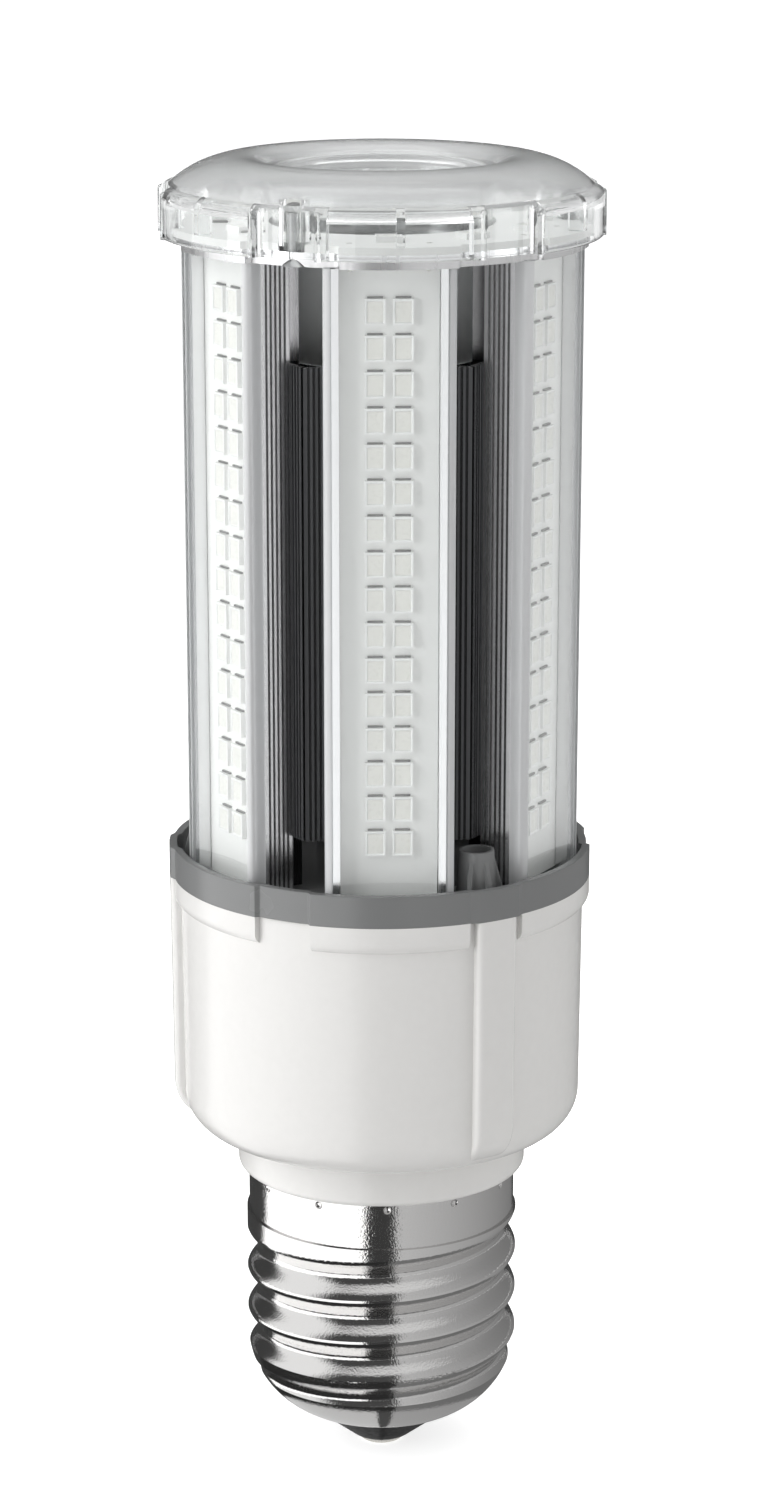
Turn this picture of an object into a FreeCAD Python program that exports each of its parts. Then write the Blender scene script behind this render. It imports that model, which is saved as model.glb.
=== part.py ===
import FreeCAD, Part
import math
import os

from FreeCAD import Vector

# LED corn lamp on a large screw base. Millimetres, +Z up, with the origin on the face of the
# centre contact. Angles are taken about Z from the front, which is -Y, towards +X.

# Screw base
CREST_RADIUS = 19.75
THREAD_DEPTH = 1.8
THREAD_PITCH = 6.35
THREAD_START = 7.36
THREAD_TURNS = 4.4
RUN_OUT_SHARE = 1.7
GROOVE_SHARE = 0.94
GROOVE_REACH = 1.2
BAND_SET_IN = 0.35
BAND_HEIGHT = 6.9
BAND_SHOULDER = 0.8
SHEET = 0.55
NOSE_TOP = 19.0
NOSE_MIDDLE_RADIUS = 17.6
NOSE_MIDDLE = 11.2
LIP_RADIUS = 10.6
LIP_HEIGHT = 6.0
STAKE_COUNT = 12
STAKE_RADIUS = 0.7
STAKE_DEPTH = 0.3
STAKE_DROP = 0.9
CONTACT_RADIUS = 3.3
CONTACT_THICKNESS = 1.2
CONTACT_ROUND = 0.6
RIVET_RADIUS = 1.2
RIVET_LENGTH = 10.0
INSULATOR_TIP_RADIUS = 4.4
INSULATOR_DEPTH = 4.0

# Driver housing
COLLAR_BOTTOM = 44.3
COLLAR_HEIGHT = 6.5
COLLAR_PROUD = 1.15
COLLAR_ROUND = 1.0
NECK_LENGTH = 16.0
NECK_WALL = 1.7
BODY_HEIGHT = 37.7
BODY_DRAFT = 0.25
BODY_ROUND_SHARE = 0.7
HOUSING_WALL = 1.8
PAD_HEIGHT = 2.4
PAD_ROUND = 1.6
PILASTER_FOOT = 6.8
PILASTER_EDGE = 0.8
PILASTER_SINK = 0.45
PILASTER_END_ANGLE = 55.0
POST_RADIUS = 3.0
POST_LENGTH = 22.0

# Base ring
RIM_GAP = 0.6
LOBE_PROUD = 0.95
RECESS_PROUD = 0.4
PILASTER_PROUD = 1.45
LOBE_HALF_ANGLE = 21.7
RECESS_HALF_ANGLE = 7.4
PILASTER_HALF_ANGLE = 6.2
RING_FLOOR = 1.8
RIM_HEIGHT = 4.5
RIM_WALL = 1.1
CORE_HOLE_RADIUS = 5.0
BOSS_SET_IN = 4.4
BOSS_TOP_RADIUS = 2.45
BOSS_FOOT_RADIUS = 3.0
BOSS_HEIGHT = 7.0
BOSS_SHELF = 1.5
GUSSET_THICKNESS = 0.7
GUSSET_REACH = 1.1
GUSSET_DROP = 1.0
GUSSET_ANGLES = (-50, 0, 50, 180)

# Arms: extrusion, board and cover
ARM_COUNT = 6
ARM_LENGTH = 87.7
COVER_WIDTH = 17.7
COVER_FACE = 27.0
COVER_FACE_WALL = 1.2
COVER_SIDE_WALL = 1.0
COVER_SIDE_DEPTH = 2.4
COVER_CORNER = 1.0
EXTRUSION_SET_IN = 0.2
SEAT_DEPTH = 4.5
SEAT_THICKNESS = 1.8
SIDE_DEPTH = 7.0
SIDE_HEIGHT = 4.5
LIP_WALL = 0.7
LIP_RISE = 0.9
BEAD_HEIGHT = 0.45
RIB_COUNT = 6
RIB_PITCH = 0.72
RIB_GAP = 0.36
RIB_DEPTH = 0.45
WING_THICKNESS = 1.0
WING_GAP = 0.2
WING_CLEARANCE = 1.0
WING_OVERLAP = 1.2
FIN_DEPTH = 10.1
FIN_THICKNESS = 0.9
FIN_PITCH = 1.8
PORT_DEPTH = 8.1
PORT_WALL = 0.85
PORT_SLIT = 0.9
SLIDE_GAP = 0.1
BOARD_SIDE = 2.0
BOARD_THICKNESS = 1.0
BOARD_INSET = 0.2
LED_WIDTH = 2.8
LED_LENGTH = 3.5
LED_HEIGHT = 0.8
LED_ROWS = 16
LED_COLUMN_PITCH = 3.74
LED_FOOT = 7.1
LED_HEAD = 4.3

# Top plate and top board
PLATE_THICKNESS = 2.0
TOP_BOARD_GAP = 0.3
TOP_BOARD_THICKNESS = 1.0
TOP_LED_COUNT = 12
TOP_LED_SET_IN = 6.9
LINK_RADIUS = 0.3
LINK_SPACING = 10.4
LINK_OVERLAP = 0.5

# Cap
CAP_PROUD = 0.75
CAP_WALL = 1.4
CAP_GAP = 1.2
CAP_EDGE = 0.5
CAP_SIDE = 5.4
CAP_SHOULDER = 1.5
CAP_CREST_RISE = 10.6
CAP_SLOPE = 11.1
CAP_TURN = 2.5
WELL_CLEARANCE = 2.9
WELL_TAPER = 0.8
WELL_WALL = 1.2
WELL_DEPTH = 27.1
WELL_GAP = 0.5
WELL_ROUND = 1.2
MOUTH_DROP = 1.5
CAP_RIB_RADIUS = 0.6
CAP_RIB_PROUD = 0.2
CAP_RIB_ANGLE = 21.0
CAP_RIB_RISE = 0.4
POCKET_DEPTH = 1.5
POCKET_HALF_ANGLE = 8.5
POCKET_ROUND = 1.2
POCKET_GAP = 0.3
STAY_THICKNESS = 1.1
STAY_WIDTH = 2.6
STAY_RISE = 0.6
CAP_BOSS_RADIUS = 2.0
CAP_BOSS_SET_IN = 4.2

# Screws
SCREW_RADIUS = 1.25
SCREW_GAP = 0.15
FLAT_HEAD_RADIUS = 2.5
ARM_SCREW_LENGTH = 9.0
PAN_HEAD_RADIUS = 1.8
PAN_HEAD_HEIGHT = 1.3
RING_SCREW_LENGTH = 15.0
BORE_SPARE = 1.0
CAP_SCREW_RADIUS = 0.9
CAP_HEAD_RADIUS = 1.8
CAP_SCREW_LENGTH = 7.0

# Driver inside the housing
DRIVER_SIDE_GAP = 8.9
DRIVER_HEAD_GAP = 2.9
DRIVER_THICKNESS = 1.6
DRIVER_SET_BACK = 2.0
TONGUE_SIDE_GAP = 3.6
TONGUE_LENGTH = 21.0
GUIDE_WALL = 1.2
GUIDE_GRIP = 1.6
GUIDE_HEIGHT = 24.0
CORE_WIDTH = 20.0
CORE_HEIGHT = 18.0
CORE_DEPTH = 7.0
CORE_LEG = 5.0
CORE_YOKE = 3.0
COIL_DEPTH = 13.0
COIL_GAP = 0.3
BULK_RADIUS = 5.0
BULK_LENGTH = 20.0
INDUCTOR_RADIUS = 4.5
INDUCTOR_LENGTH = 9.0
FUSE_RADIUS = 1.6
FUSE_LENGTH = 9.0
BRIDGE_WIDTH = 9.0
BRIDGE_HEIGHT = 7.0
BRIDGE_THICKNESS = 2.6
TRANSISTOR_WIDTH = 10.0
TRANSISTOR_HEIGHT = 15.0
TRANSISTOR_THICKNESS = 4.4
SINK_WIDTH = 16.0
SINK_HEIGHT = 24.0
SINK_THICKNESS = 2.0
TRANSFORMER_X = -7.0
TRANSFORMER_LIFT = 6.0
BULK_FRONT_X = 12.0
BULK_REAR_X = -11.0
BULK_LIFT = 9.0
TONGUE_PART_LIFT = 4.0
INDUCTOR_X = -5.0
INDUCTOR_WAIST = 0.65
FUSE_X = 6.0
BRIDGE_DROP = 10.0
TRANSISTOR_X = 10.0
TRANSISTOR_LIFT = 9.0
LEAD_RADIUS = 0.6
CONTACT_LEAD_RISE = 9.0
CONTACT_LEAD_DROP = 7.0
SHELL_LEAD_X = 8.0
SHELL_LEAD_DROPS = (6.0, 9.0, 12.0)
SHELL_LEAD_SET_IN = 2.0
SHELL_LEAD_SLOPE = 1.5

ARM_REACH = COVER_CORNER + math.hypot(COVER_WIDTH / 2 - COVER_CORNER, COVER_FACE - COVER_CORNER)
LOBE_RADIUS = ARM_REACH + RIM_GAP + RIM_WALL
BODY_RADIUS = LOBE_RADIUS - LOBE_PROUD
RECESS_RADIUS = BODY_RADIUS + RECESS_PROUD
PILASTER_RADIUS = BODY_RADIUS + PILASTER_PROUD
BOSS_PITCH_RADIUS = BODY_RADIUS - BOSS_SET_IN
CAP_RADIUS = LOBE_RADIUS + CAP_PROUD
CAP_CREST_RADIUS = CAP_RADIUS - CAP_SLOPE
CAP_BOSS_PITCH_RADIUS = CAP_RADIUS - CAP_BOSS_SET_IN
TOP_BOARD_RADIUS = CAP_RADIUS - CAP_WALL - TOP_BOARD_GAP
PLATE_RADIUS = TOP_BOARD_RADIUS - TOP_BOARD_GAP
TOP_LED_RADIUS = TOP_BOARD_RADIUS - TOP_LED_SET_IN
SEAT = COVER_FACE - SEAT_DEPTH
SIDE_BACK = COVER_FACE - SIDE_DEPTH
COVER_SIDE_END = COVER_FACE - COVER_SIDE_DEPTH
FIN_BACK = COVER_FACE - FIN_DEPTH
PORT_CENTRE = COVER_FACE - PORT_DEPTH
EXTRUSION_WIDTH = COVER_WIDTH - 2 * EXTRUSION_SET_IN
BOARD_WIDTH = EXTRUSION_WIDTH - 2 * BOARD_SIDE
CHANNEL_HALF_WIDTH = BOARD_WIDTH / 2 + SLIDE_GAP
LED_PITCH = (ARM_LENGTH - LED_FOOT - LED_HEAD - LED_LENGTH) / (LED_ROWS - 1)
WELL_RADIUS = FIN_BACK - WELL_CLEARANCE
BAND_RADIUS = CREST_RADIUS - BAND_SET_IN
COLLAR_RADIUS = CREST_RADIUS + COLLAR_PROUD
COLLAR_TOP = COLLAR_BOTTOM + COLLAR_HEIGHT
BODY_TOP = COLLAR_TOP + BODY_HEIGHT
ARM_BOTTOM = BODY_TOP + RING_FLOOR
ARM_TOP = ARM_BOTTOM + ARM_LENGTH
PLATE_TOP = ARM_TOP + PLATE_THICKNESS
TOP_BOARD_FACE = PLATE_TOP + TOP_BOARD_THICKNESS
CAP_BOTTOM = ARM_TOP + CAP_GAP
CAP_CREST = CAP_BOTTOM + CAP_CREST_RISE
WELL_BOTTOM = CAP_CREST - WELL_DEPTH
WELL_HOLE_RADIUS = WELL_RADIUS + WELL_WALL + WELL_GAP
BAND_BOTTOM = COLLAR_BOTTOM - BAND_HEIGHT
SHELL_BORE = CREST_RADIUS - THREAD_DEPTH - SHEET
BAND_BORE = BAND_RADIUS - SHEET
NECK_BORE_RADIUS = SHELL_BORE - SLIDE_GAP - NECK_WALL
HOUSING_FLOOR = COLLAR_TOP + HOUSING_WALL
BODY_FOOT_RADIUS = BODY_RADIUS - BODY_DRAFT
BODY_ROUND = BODY_ROUND_SHARE * (BODY_FOOT_RADIUS - COLLAR_RADIUS)
DRIVER_WIDTH = 2 * (BODY_RADIUS - DRIVER_SIDE_GAP)
DRIVER_HEIGHT = BODY_HEIGHT - HOUSING_WALL - DRIVER_HEAD_GAP
TONGUE_WIDTH = 2 * (NECK_BORE_RADIUS - TONGUE_SIDE_GAP)
BOARD_FACE = SEAT + BOARD_THICKNESS
ARM_STEP = 360.0 / ARM_COUNT
BOSS_ANGLES = [ARM_STEP / 2 + 2 * ARM_STEP * index for index in range(ARM_COUNT // 2)]
RECESS_ANGLES = [angle + ARM_STEP for angle in BOSS_ANGLES]
CAP_BOSS_ANGLES = [angle + CAP_TURN for angle in RECESS_ANGLES]
CAP_SLOT_ANGLES = [ARM_STEP * (index + 0.5) + CAP_TURN for index in range(ARM_COUNT)]
POCKET_RADIUS = CAP_RADIUS - POCKET_DEPTH
DRIVER_FRONT = DRIVER_SET_BACK - DRIVER_THICKNESS / 2
DRIVER_BACK = DRIVER_SET_BACK + DRIVER_THICKNESS / 2
TRANSFORMER_MIDDLE = DRIVER_FRONT - COIL_DEPTH / 2
TRANSFORMER_BOTTOM = HOUSING_FLOOR + TRANSFORMER_LIFT
CORE_WINDOW = (CORE_WIDTH - CORE_LEG - 2 * CORE_YOKE) / 2
TONGUE_BOTTOM = HOUSING_FLOOR - TONGUE_LENGTH

UP = Vector(0, 0, 1)
CENTRE = Vector(0, 0, 0)


def turned(shape, angle):
    """The shape turned about the lamp's axis."""
    copy = shape.copy()
    copy.rotate(CENTRE, UP, angle)
    return copy


def ring_of(shape, angles):
    """Copies of a shape at the given angles about the lamp's axis."""
    return [turned(shape, angle) for angle in angles]


def even_angles(count, first=0.0):
    """Equal steps round a full turn."""
    return [first + 360.0 * index / count for index in range(count)]


def polar(radius, angle, height=0.0):
    """The point at a radius, an angle from the front and a height."""
    turn = math.radians(angle)
    return Vector(radius * math.sin(turn), -radius * math.cos(turn), height)


def block(width, depth, height, centre_x, centre_y, bottom):
    """An upright block given by the centre of its plan and its underside."""
    return Part.makeBox(width, depth, height, Vector(centre_x - width / 2, centre_y - depth / 2, bottom))


def rod(radius, height, foot):
    """An upright round bar standing on a point."""
    return Part.makeCylinder(radius, height, foot)


def joined(shapes):
    """Touching or overlapping shapes as one clean solid."""
    return shapes[0].fuse(shapes[1:]).removeSplitter()


def line(start, end):
    """A straight edge between two (radius, height) points of a section."""
    return Part.makeLine(Vector(start[0], 0, start[1]), Vector(end[0], 0, end[1]))


def arc(start, middle, end):
    """A round edge through three (radius, height) points of a section."""
    return Part.Arc(*[Vector(r, 0, z) for r, z in (start, middle, end)]).toShape()


def bend(centre, radius, first, last):
    """A round edge about a (radius, height) centre, from one angle to another."""
    points = []
    for angle in (first, (first + last) / 2, last):
        turn = math.radians(angle)
        points.append((centre[0] + radius * math.cos(turn), centre[1] + radius * math.sin(turn)))
    return arc(*points)


def easing_bend(start, end):
    """A round edge that leaves its start straight down and bends inwards to its end."""
    across, down = start[0] - end[0], start[1] - end[1]
    radius = (across ** 2 + down ** 2) / (2 * across)
    sweep = math.degrees(math.atan2(down, radius - across))
    return bend((start[0] - radius, start[1]), radius, 0, -sweep)


def smooth(points):
    """A smooth edge through (radius, height) points of a section."""
    curve = Part.BSplineCurve()
    curve.interpolate([Vector(r, 0, z) for r, z in points])
    return curve.toShape()


def chain(points):
    """Straight edges through (radius, height) points of a section."""
    return [line(start, end) for start, end in zip(points, points[1:])]


def revolved(edges, angle=360.0):
    """A solid turned about the lamp's axis from a closed section, starting at +X."""
    return Part.Face(Part.Wire(Part.__sortEdges__(edges))).revolve(CENTRE, UP, angle)


def sector(edges, half_angle, centre_angle):
    """A section swept round by twice the half angle and centred on an angle from the front."""
    return turned(revolved(edges, 2 * half_angle), centre_angle - 90 - half_angle)


def arm_rectangle(left, right, back, front):
    """A flat rectangle across the front arm, with depths measured from the lamp's axis."""
    corners = [(left, back), (right, back), (right, front), (left, front), (left, back)]
    return Part.Face(Part.makePolygon([Vector(u, -depth, 0) for u, depth in corners]))


def mirrored_rectangles(inner, outer, back, front):
    """The same flat rectangle on both sides of the front arm's middle."""
    return [arm_rectangle(inner, outer, back, front), arm_rectangle(-outer, -inner, back, front)]


def raised(face, bottom, height):
    """A flat section lifted to a height and drawn up into a solid."""
    solid = face.extrude(Vector(0, 0, height))
    solid.translate(Vector(0, 0, bottom))
    return solid


def drawn_arm(faces):
    """Flat sections drawn along the full length of an arm."""
    return [raised(face, ARM_BOTTOM, ARM_LENGTH) for face in faces]


def lobed_outline(inset):
    """The ring's closed outline: a lobe for each arm, and between them a pilaster or a recess."""
    stations = []
    for index in range(ARM_COUNT):
        middle = index * ARM_STEP
        stations.append((middle, LOBE_HALF_ANGLE, LOBE_RADIUS - inset))
        if index % 2 == 0:
            stations.append((middle + ARM_STEP / 2, PILASTER_HALF_ANGLE, PILASTER_RADIUS - inset))
        else:
            stations.append((middle + ARM_STEP / 2, RECESS_HALF_ANGLE, RECESS_RADIUS - inset))
    edges = []
    for station, following in zip(stations, stations[1:] + stations[:1]):
        middle, half, radius = station
        start, end = polar(radius, middle - half), polar(radius, middle + half)
        edges.append(Part.Arc(start, polar(radius, middle), end).toShape())
        edges.append(Part.makeLine(end, polar(following[2], following[0] - following[1])))
    return Part.Face(Part.Wire(edges))


def tangent_lead(points):
    """A round wire along straight runs with the largest round bends that fit between them."""
    edges = []
    start = points[0]
    for before, corner, after in zip(points, points[1:], points[2:]):
        incoming, outgoing = corner - before, after - corner
        reach = 0.45 * min(incoming.Length, outgoing.Length)
        entry = corner - incoming.normalize() * reach
        leave = corner + outgoing.normalize() * reach
        chord = (entry + leave) / 2
        half_turn = incoming.getAngle(outgoing) / 2
        radius = reach / math.tan(half_turn)
        towards = (chord - corner).normalize()
        middle = corner + towards * (radius / math.cos(half_turn) - radius)
        edges += [Part.makeLine(start, entry), Part.Arc(entry, middle, leave).toShape()]
        start = leave
    edges.append(Part.makeLine(start, points[-1]))
    path = Part.Wire(edges)
    circle = Part.Wire(Part.makeCircle(LEAD_RADIUS, points[0], points[1] - points[0]))
    return path.makePipeShell([circle], True, False)


def flat_head_screw(head_radius, radius, length):
    """A countersunk screw with its head up and its top face on Z = 0."""
    return revolved(chain([(0, 0), (head_radius, 0), (radius, radius - head_radius),
                           (radius, -length), (0, -length), (0, 0)]))


def countersink(head_radius, radius, depth):
    """The hole that a countersunk screw needs, with its wide end on Z = 0."""
    wide, narrow = head_radius + SCREW_GAP, radius + SCREW_GAP
    return revolved(chain([(0, 0), (wide, 0), (narrow, narrow - wide),
                           (narrow, -depth), (0, -depth), (0, 0)]))


def pan_head_screw(radius, length):
    """A round-headed screw with its head up and the underside of the head on Z = 0."""
    head = rod(PAN_HEAD_RADIUS, PAN_HEAD_HEIGHT, CENTRE)
    return joined([head, rod(radius, length, Vector(0, 0, -length))])


def upside_down(shape):
    """The shape turned over about the X axis."""
    copy = shape.copy()
    copy.rotate(CENTRE, Vector(1, 0, 0), 180)
    return copy


def moved(shape, place):
    """A copy of the shape carried from the origin to a place."""
    copy = shape.copy()
    copy.translate(place)
    return copy


def groove_section():
    """The rolled groove's round section, with straight sides that stand clear of the crest."""
    half = THREAD_PITCH * GROOVE_SHARE / 2
    wave = []
    for step in range(-4, 5):
        height = half * step / 4
        share = (1 + math.cos(2 * math.pi * height / THREAD_PITCH)) / 2
        wave.append((CREST_RADIUS - THREAD_DEPTH * share, height))
    outside = CREST_RADIUS + GROOVE_REACH
    sides = chain([wave[-1], (outside, half), (outside, -half), wave[0]])
    return Part.Wire(Part.__sortEdges__([smooth(wave)] + sides))


def thread_groove():
    """The right-hand groove from the front upwards, and its run-out straight along the tangent."""
    section = groove_section()
    climb = THREAD_PITCH * THREAD_TURNS
    helix = Part.makeHelix(THREAD_PITCH, climb, CREST_RADIUS)
    groove = Part.Solid(Part.Wire(helix.Edges).makePipeShell([section], True, True))
    root = CREST_RADIUS - THREAD_DEPTH
    length = RUN_OUT_SHARE * math.sqrt(CREST_RADIUS ** 2 - root ** 2)
    tangent = Vector(0, 1, THREAD_PITCH / (2 * math.pi * CREST_RADIUS))
    run_out = turned(Part.Face(section).extrude(tangent * length), 360 * THREAD_TURNS)
    parts = [groove, moved(run_out, Vector(0, 0, climb))]
    return [moved(turned(part, -90), Vector(0, 0, THREAD_START)) for part in parts]


def screw_shell():
    """Plated sheet shell: a rounded nose, a rolled thread and a plain staked band."""
    spare = 2 * THREAD_PITCH
    top = BAND_BOTTOM + spare
    lip, lip_inside = (LIP_RADIUS, LIP_HEIGHT), (LIP_RADIUS, LIP_HEIGHT + SHEET)
    inner_middle = (NOSE_MIDDLE_RADIUS - 3 * SHEET, NOSE_MIDDLE - SHEET)
    bore_foot = (SHELL_BORE, NOSE_TOP - 3 * SHEET)
    edges = [arc(lip, (NOSE_MIDDLE_RADIUS, NOSE_MIDDLE), (CREST_RADIUS, NOSE_TOP))]
    edges += chain([(CREST_RADIUS, NOSE_TOP), (CREST_RADIUS, top), (SHELL_BORE, top), bore_foot])
    edges += [arc(bore_foot, inner_middle, lip_inside), line(lip_inside, lip)]
    threaded = revolved(edges)
    lid = rod(CREST_RADIUS + GROOVE_REACH, spare, Vector(0, 0, BAND_BOTTOM))
    for cutter in thread_groove() + [lid]:
        threaded = threaded.cut(cutter)
    shoulder = BAND_BOTTOM + BAND_SHOULDER
    band = revolved(chain([(SHELL_BORE, BAND_BOTTOM), (BAND_RADIUS, BAND_BOTTOM),
                           (BAND_RADIUS, COLLAR_BOTTOM), (BAND_BORE, COLLAR_BOTTOM),
                           (BAND_BORE, shoulder), (SHELL_BORE, shoulder),
                           (SHELL_BORE, BAND_BOTTOM)]))
    centre = BAND_RADIUS + STAKE_RADIUS - STAKE_DEPTH
    dent = Part.makeSphere(STAKE_RADIUS, polar(centre, 0, COLLAR_BOTTOM - STAKE_DROP))
    return joined([threaded, band]).cut(Part.makeCompound(ring_of(dent, even_angles(STAKE_COUNT))))


def base_insulator():
    """Black glass plug that fills the mouth of the shell and carries the centre contact."""
    outer = LIP_RADIUS - SLIDE_GAP
    inside = LIP_HEIGHT + INSULATOR_DEPTH
    return revolved(chain([(RIVET_RADIUS, CONTACT_THICKNESS),
                           (INSULATOR_TIP_RADIUS, CONTACT_THICKNESS), (outer, LIP_HEIGHT),
                           (outer, inside), (RIVET_RADIUS, inside),
                           (RIVET_RADIUS, CONTACT_THICKNESS)]))


def centre_contact():
    """Brass button with a shank through the insulator."""
    shank = RIVET_RADIUS - SLIDE_GAP / 2
    edges = chain([(0, RIVET_LENGTH), (0, 0), (CONTACT_RADIUS - CONTACT_ROUND, 0)])
    edges.append(bend((CONTACT_RADIUS - CONTACT_ROUND, CONTACT_ROUND), CONTACT_ROUND, -90, 0))
    edges += chain([(CONTACT_RADIUS, CONTACT_ROUND), (CONTACT_RADIUS, CONTACT_THICKNESS),
                    (shank, CONTACT_THICKNESS), (shank, RIVET_LENGTH), (0, RIVET_LENGTH)])
    return revolved(edges)


def housing_shell():
    """The housing's turned form: neck, collar and body in one wall."""
    neck_bottom = COLLAR_BOTTOM - NECK_LENGTH
    neck, spigot = SHELL_BORE - SLIDE_GAP, BAND_BORE - SLIDE_GAP
    step = BAND_BOTTOM + BAND_SHOULDER + SLIDE_GAP
    collar_corner = (COLLAR_RADIUS - COLLAR_ROUND, COLLAR_BOTTOM + COLLAR_ROUND)
    round_centre = (BODY_FOOT_RADIUS - BODY_ROUND, COLLAR_TOP + BODY_ROUND)
    edges = chain([(NECK_BORE_RADIUS, HOUSING_FLOOR), (NECK_BORE_RADIUS, neck_bottom),
                   (neck, neck_bottom), (neck, step), (spigot, step), (spigot, COLLAR_BOTTOM),
                   (collar_corner[0], COLLAR_BOTTOM)])
    edges.append(bend(collar_corner, COLLAR_ROUND, -90, 0))
    edges += chain([(COLLAR_RADIUS, collar_corner[1]), (COLLAR_RADIUS, COLLAR_TOP),
                    (round_centre[0], COLLAR_TOP)])
    edges.append(bend(round_centre, BODY_ROUND, -90, 0))
    inside_round = BODY_ROUND - HOUSING_WALL
    edges += chain([(BODY_FOOT_RADIUS, round_centre[1]), (BODY_RADIUS, BODY_TOP),
                    (BODY_RADIUS - HOUSING_WALL, BODY_TOP),
                    (BODY_FOOT_RADIUS - HOUSING_WALL, round_centre[1])])
    edges.append(bend(round_centre, inside_round, 0, -90))
    edges.append(line((round_centre[0], HOUSING_FLOOR), (NECK_BORE_RADIUS, HOUSING_FLOOR)))
    return revolved(edges)


def lip_pad():
    """The proud lip under one of the ring's lobes."""
    root, inside = BODY_RADIUS - HOUSING_WALL / 2, BODY_RADIUS - BODY_DRAFT
    straight, foot = BODY_TOP - PAD_HEIGHT, BODY_TOP - PAD_HEIGHT - PAD_ROUND
    edges = chain([(inside, foot), (root, foot), (root, BODY_TOP), (LOBE_RADIUS, BODY_TOP),
                   (LOBE_RADIUS, straight)])
    edges.append(easing_bend((LOBE_RADIUS, straight), (inside, foot)))
    return sector(edges, LOBE_HALF_ANGLE, 0)


def pilaster():
    """The proud strip outside one of the screw posts, from the ring down to the rounded foot."""
    root = BODY_FOOT_RADIUS - HOUSING_WALL / 2
    outer_foot = PILASTER_RADIUS - BODY_DRAFT
    turn_height = COLLAR_TOP + PILASTER_FOOT
    turn, sunk = math.radians(PILASTER_END_ANGLE), BODY_ROUND - PILASTER_SINK
    end = (BODY_FOOT_RADIUS - BODY_ROUND + sunk * math.cos(turn),
           COLLAR_TOP + BODY_ROUND - sunk * math.sin(turn))
    edges = chain([end, (end[0], turn_height), (root, turn_height), (root, BODY_TOP),
                   (PILASTER_RADIUS, BODY_TOP), (outer_foot, turn_height)])
    edges.append(easing_bend((outer_foot, turn_height), end))
    strip = sector(edges, PILASTER_HALF_ANGLE, 0)
    face = (BODY_RADIUS + BODY_DRAFT) * math.cos(math.radians(PILASTER_HALF_ANGLE))
    corners = [edge for edge in strip.Edges
               if edge.BoundBox.ZLength > BODY_HEIGHT / 2 and edge.BoundBox.YMin < -face]
    return strip.makeFillet(PILASTER_EDGE, corners)


def driver_housing():
    """Glossy white moulding: turned shell, lips, pilasters, screw posts and board guides."""
    parts = [housing_shell()]
    parts += ring_of(lip_pad(), even_angles(ARM_COUNT))
    parts += ring_of(pilaster(), BOSS_ANGLES)
    post = rod(POST_RADIUS, POST_LENGTH, polar(BOSS_PITCH_RADIUS, 0, BODY_TOP - POST_LENGTH))
    parts += ring_of(post, BOSS_ANGLES)
    inner_wall = BODY_FOOT_RADIUS - HOUSING_WALL / 2
    guide_offset = (DRIVER_THICKNESS + GUIDE_WALL) / 2 + SLIDE_GAP
    guide_start = DRIVER_WIDTH / 2 - GUIDE_GRIP
    guide_end = math.sqrt(inner_wall ** 2 - (DRIVER_SET_BACK + guide_offset + GUIDE_WALL / 2) ** 2)
    for side in (-1, 1):
        for offset in (-guide_offset, guide_offset):
            parts.append(block(guide_end - guide_start, GUIDE_WALL, GUIDE_HEIGHT,
                               side * (guide_start + guide_end) / 2, DRIVER_SET_BACK + offset,
                               HOUSING_FLOOR - HOUSING_WALL / 2))
    whole = joined(parts)
    bore_length = RING_SCREW_LENGTH - RING_FLOOR - BOSS_SHELF + BORE_SPARE
    bore = rod(SCREW_RADIUS, bore_length, polar(BOSS_PITCH_RADIUS, 0, BODY_TOP - bore_length))
    return whole.cut(Part.makeCompound(ring_of(bore, BOSS_ANGLES)))


def screw_boss():
    """A tapered boss on the ring's floor with four gussets and a mouth for a sunk screw head."""
    top = ARM_BOTTOM + BOSS_HEIGHT
    foot = BODY_TOP
    place = polar(BOSS_PITCH_RADIUS, 0)
    cone = Part.makeCone(BOSS_FOOT_RADIUS, BOSS_TOP_RADIUS, top - foot, Vector(0, 0, foot))
    parts = [cone]
    reach = BOSS_FOOT_RADIUS + GUSSET_REACH
    corners = [(0, foot), (reach, foot), (reach, ARM_BOTTOM),
               (BOSS_TOP_RADIUS, top - GUSSET_DROP), (0, top - GUSSET_DROP), (0, foot)]
    fin = Part.Face(Part.makePolygon([Vector(x, 0, z) for x, z in corners]))
    fin.translate(Vector(0, -GUSSET_THICKNESS / 2, 0))
    gusset = turned(fin.extrude(Vector(0, GUSSET_THICKNESS, 0)), -90)
    parts += ring_of(gusset, GUSSET_ANGLES)
    return moved(joined(parts), place)


def boss_mouth():
    """The stepped hole down a boss for the screw's head and shank."""
    mouth_radius = PAN_HEAD_RADIUS + SCREW_GAP
    shelf = ARM_BOTTOM + BOSS_SHELF
    mouth = rod(mouth_radius, BOSS_HEIGHT, polar(BOSS_PITCH_RADIUS, 0, shelf))
    shank = rod(SCREW_RADIUS + SCREW_GAP, BOSS_HEIGHT, polar(BOSS_PITCH_RADIUS, 0, BODY_TOP))
    return mouth.fuse(shank)


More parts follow.
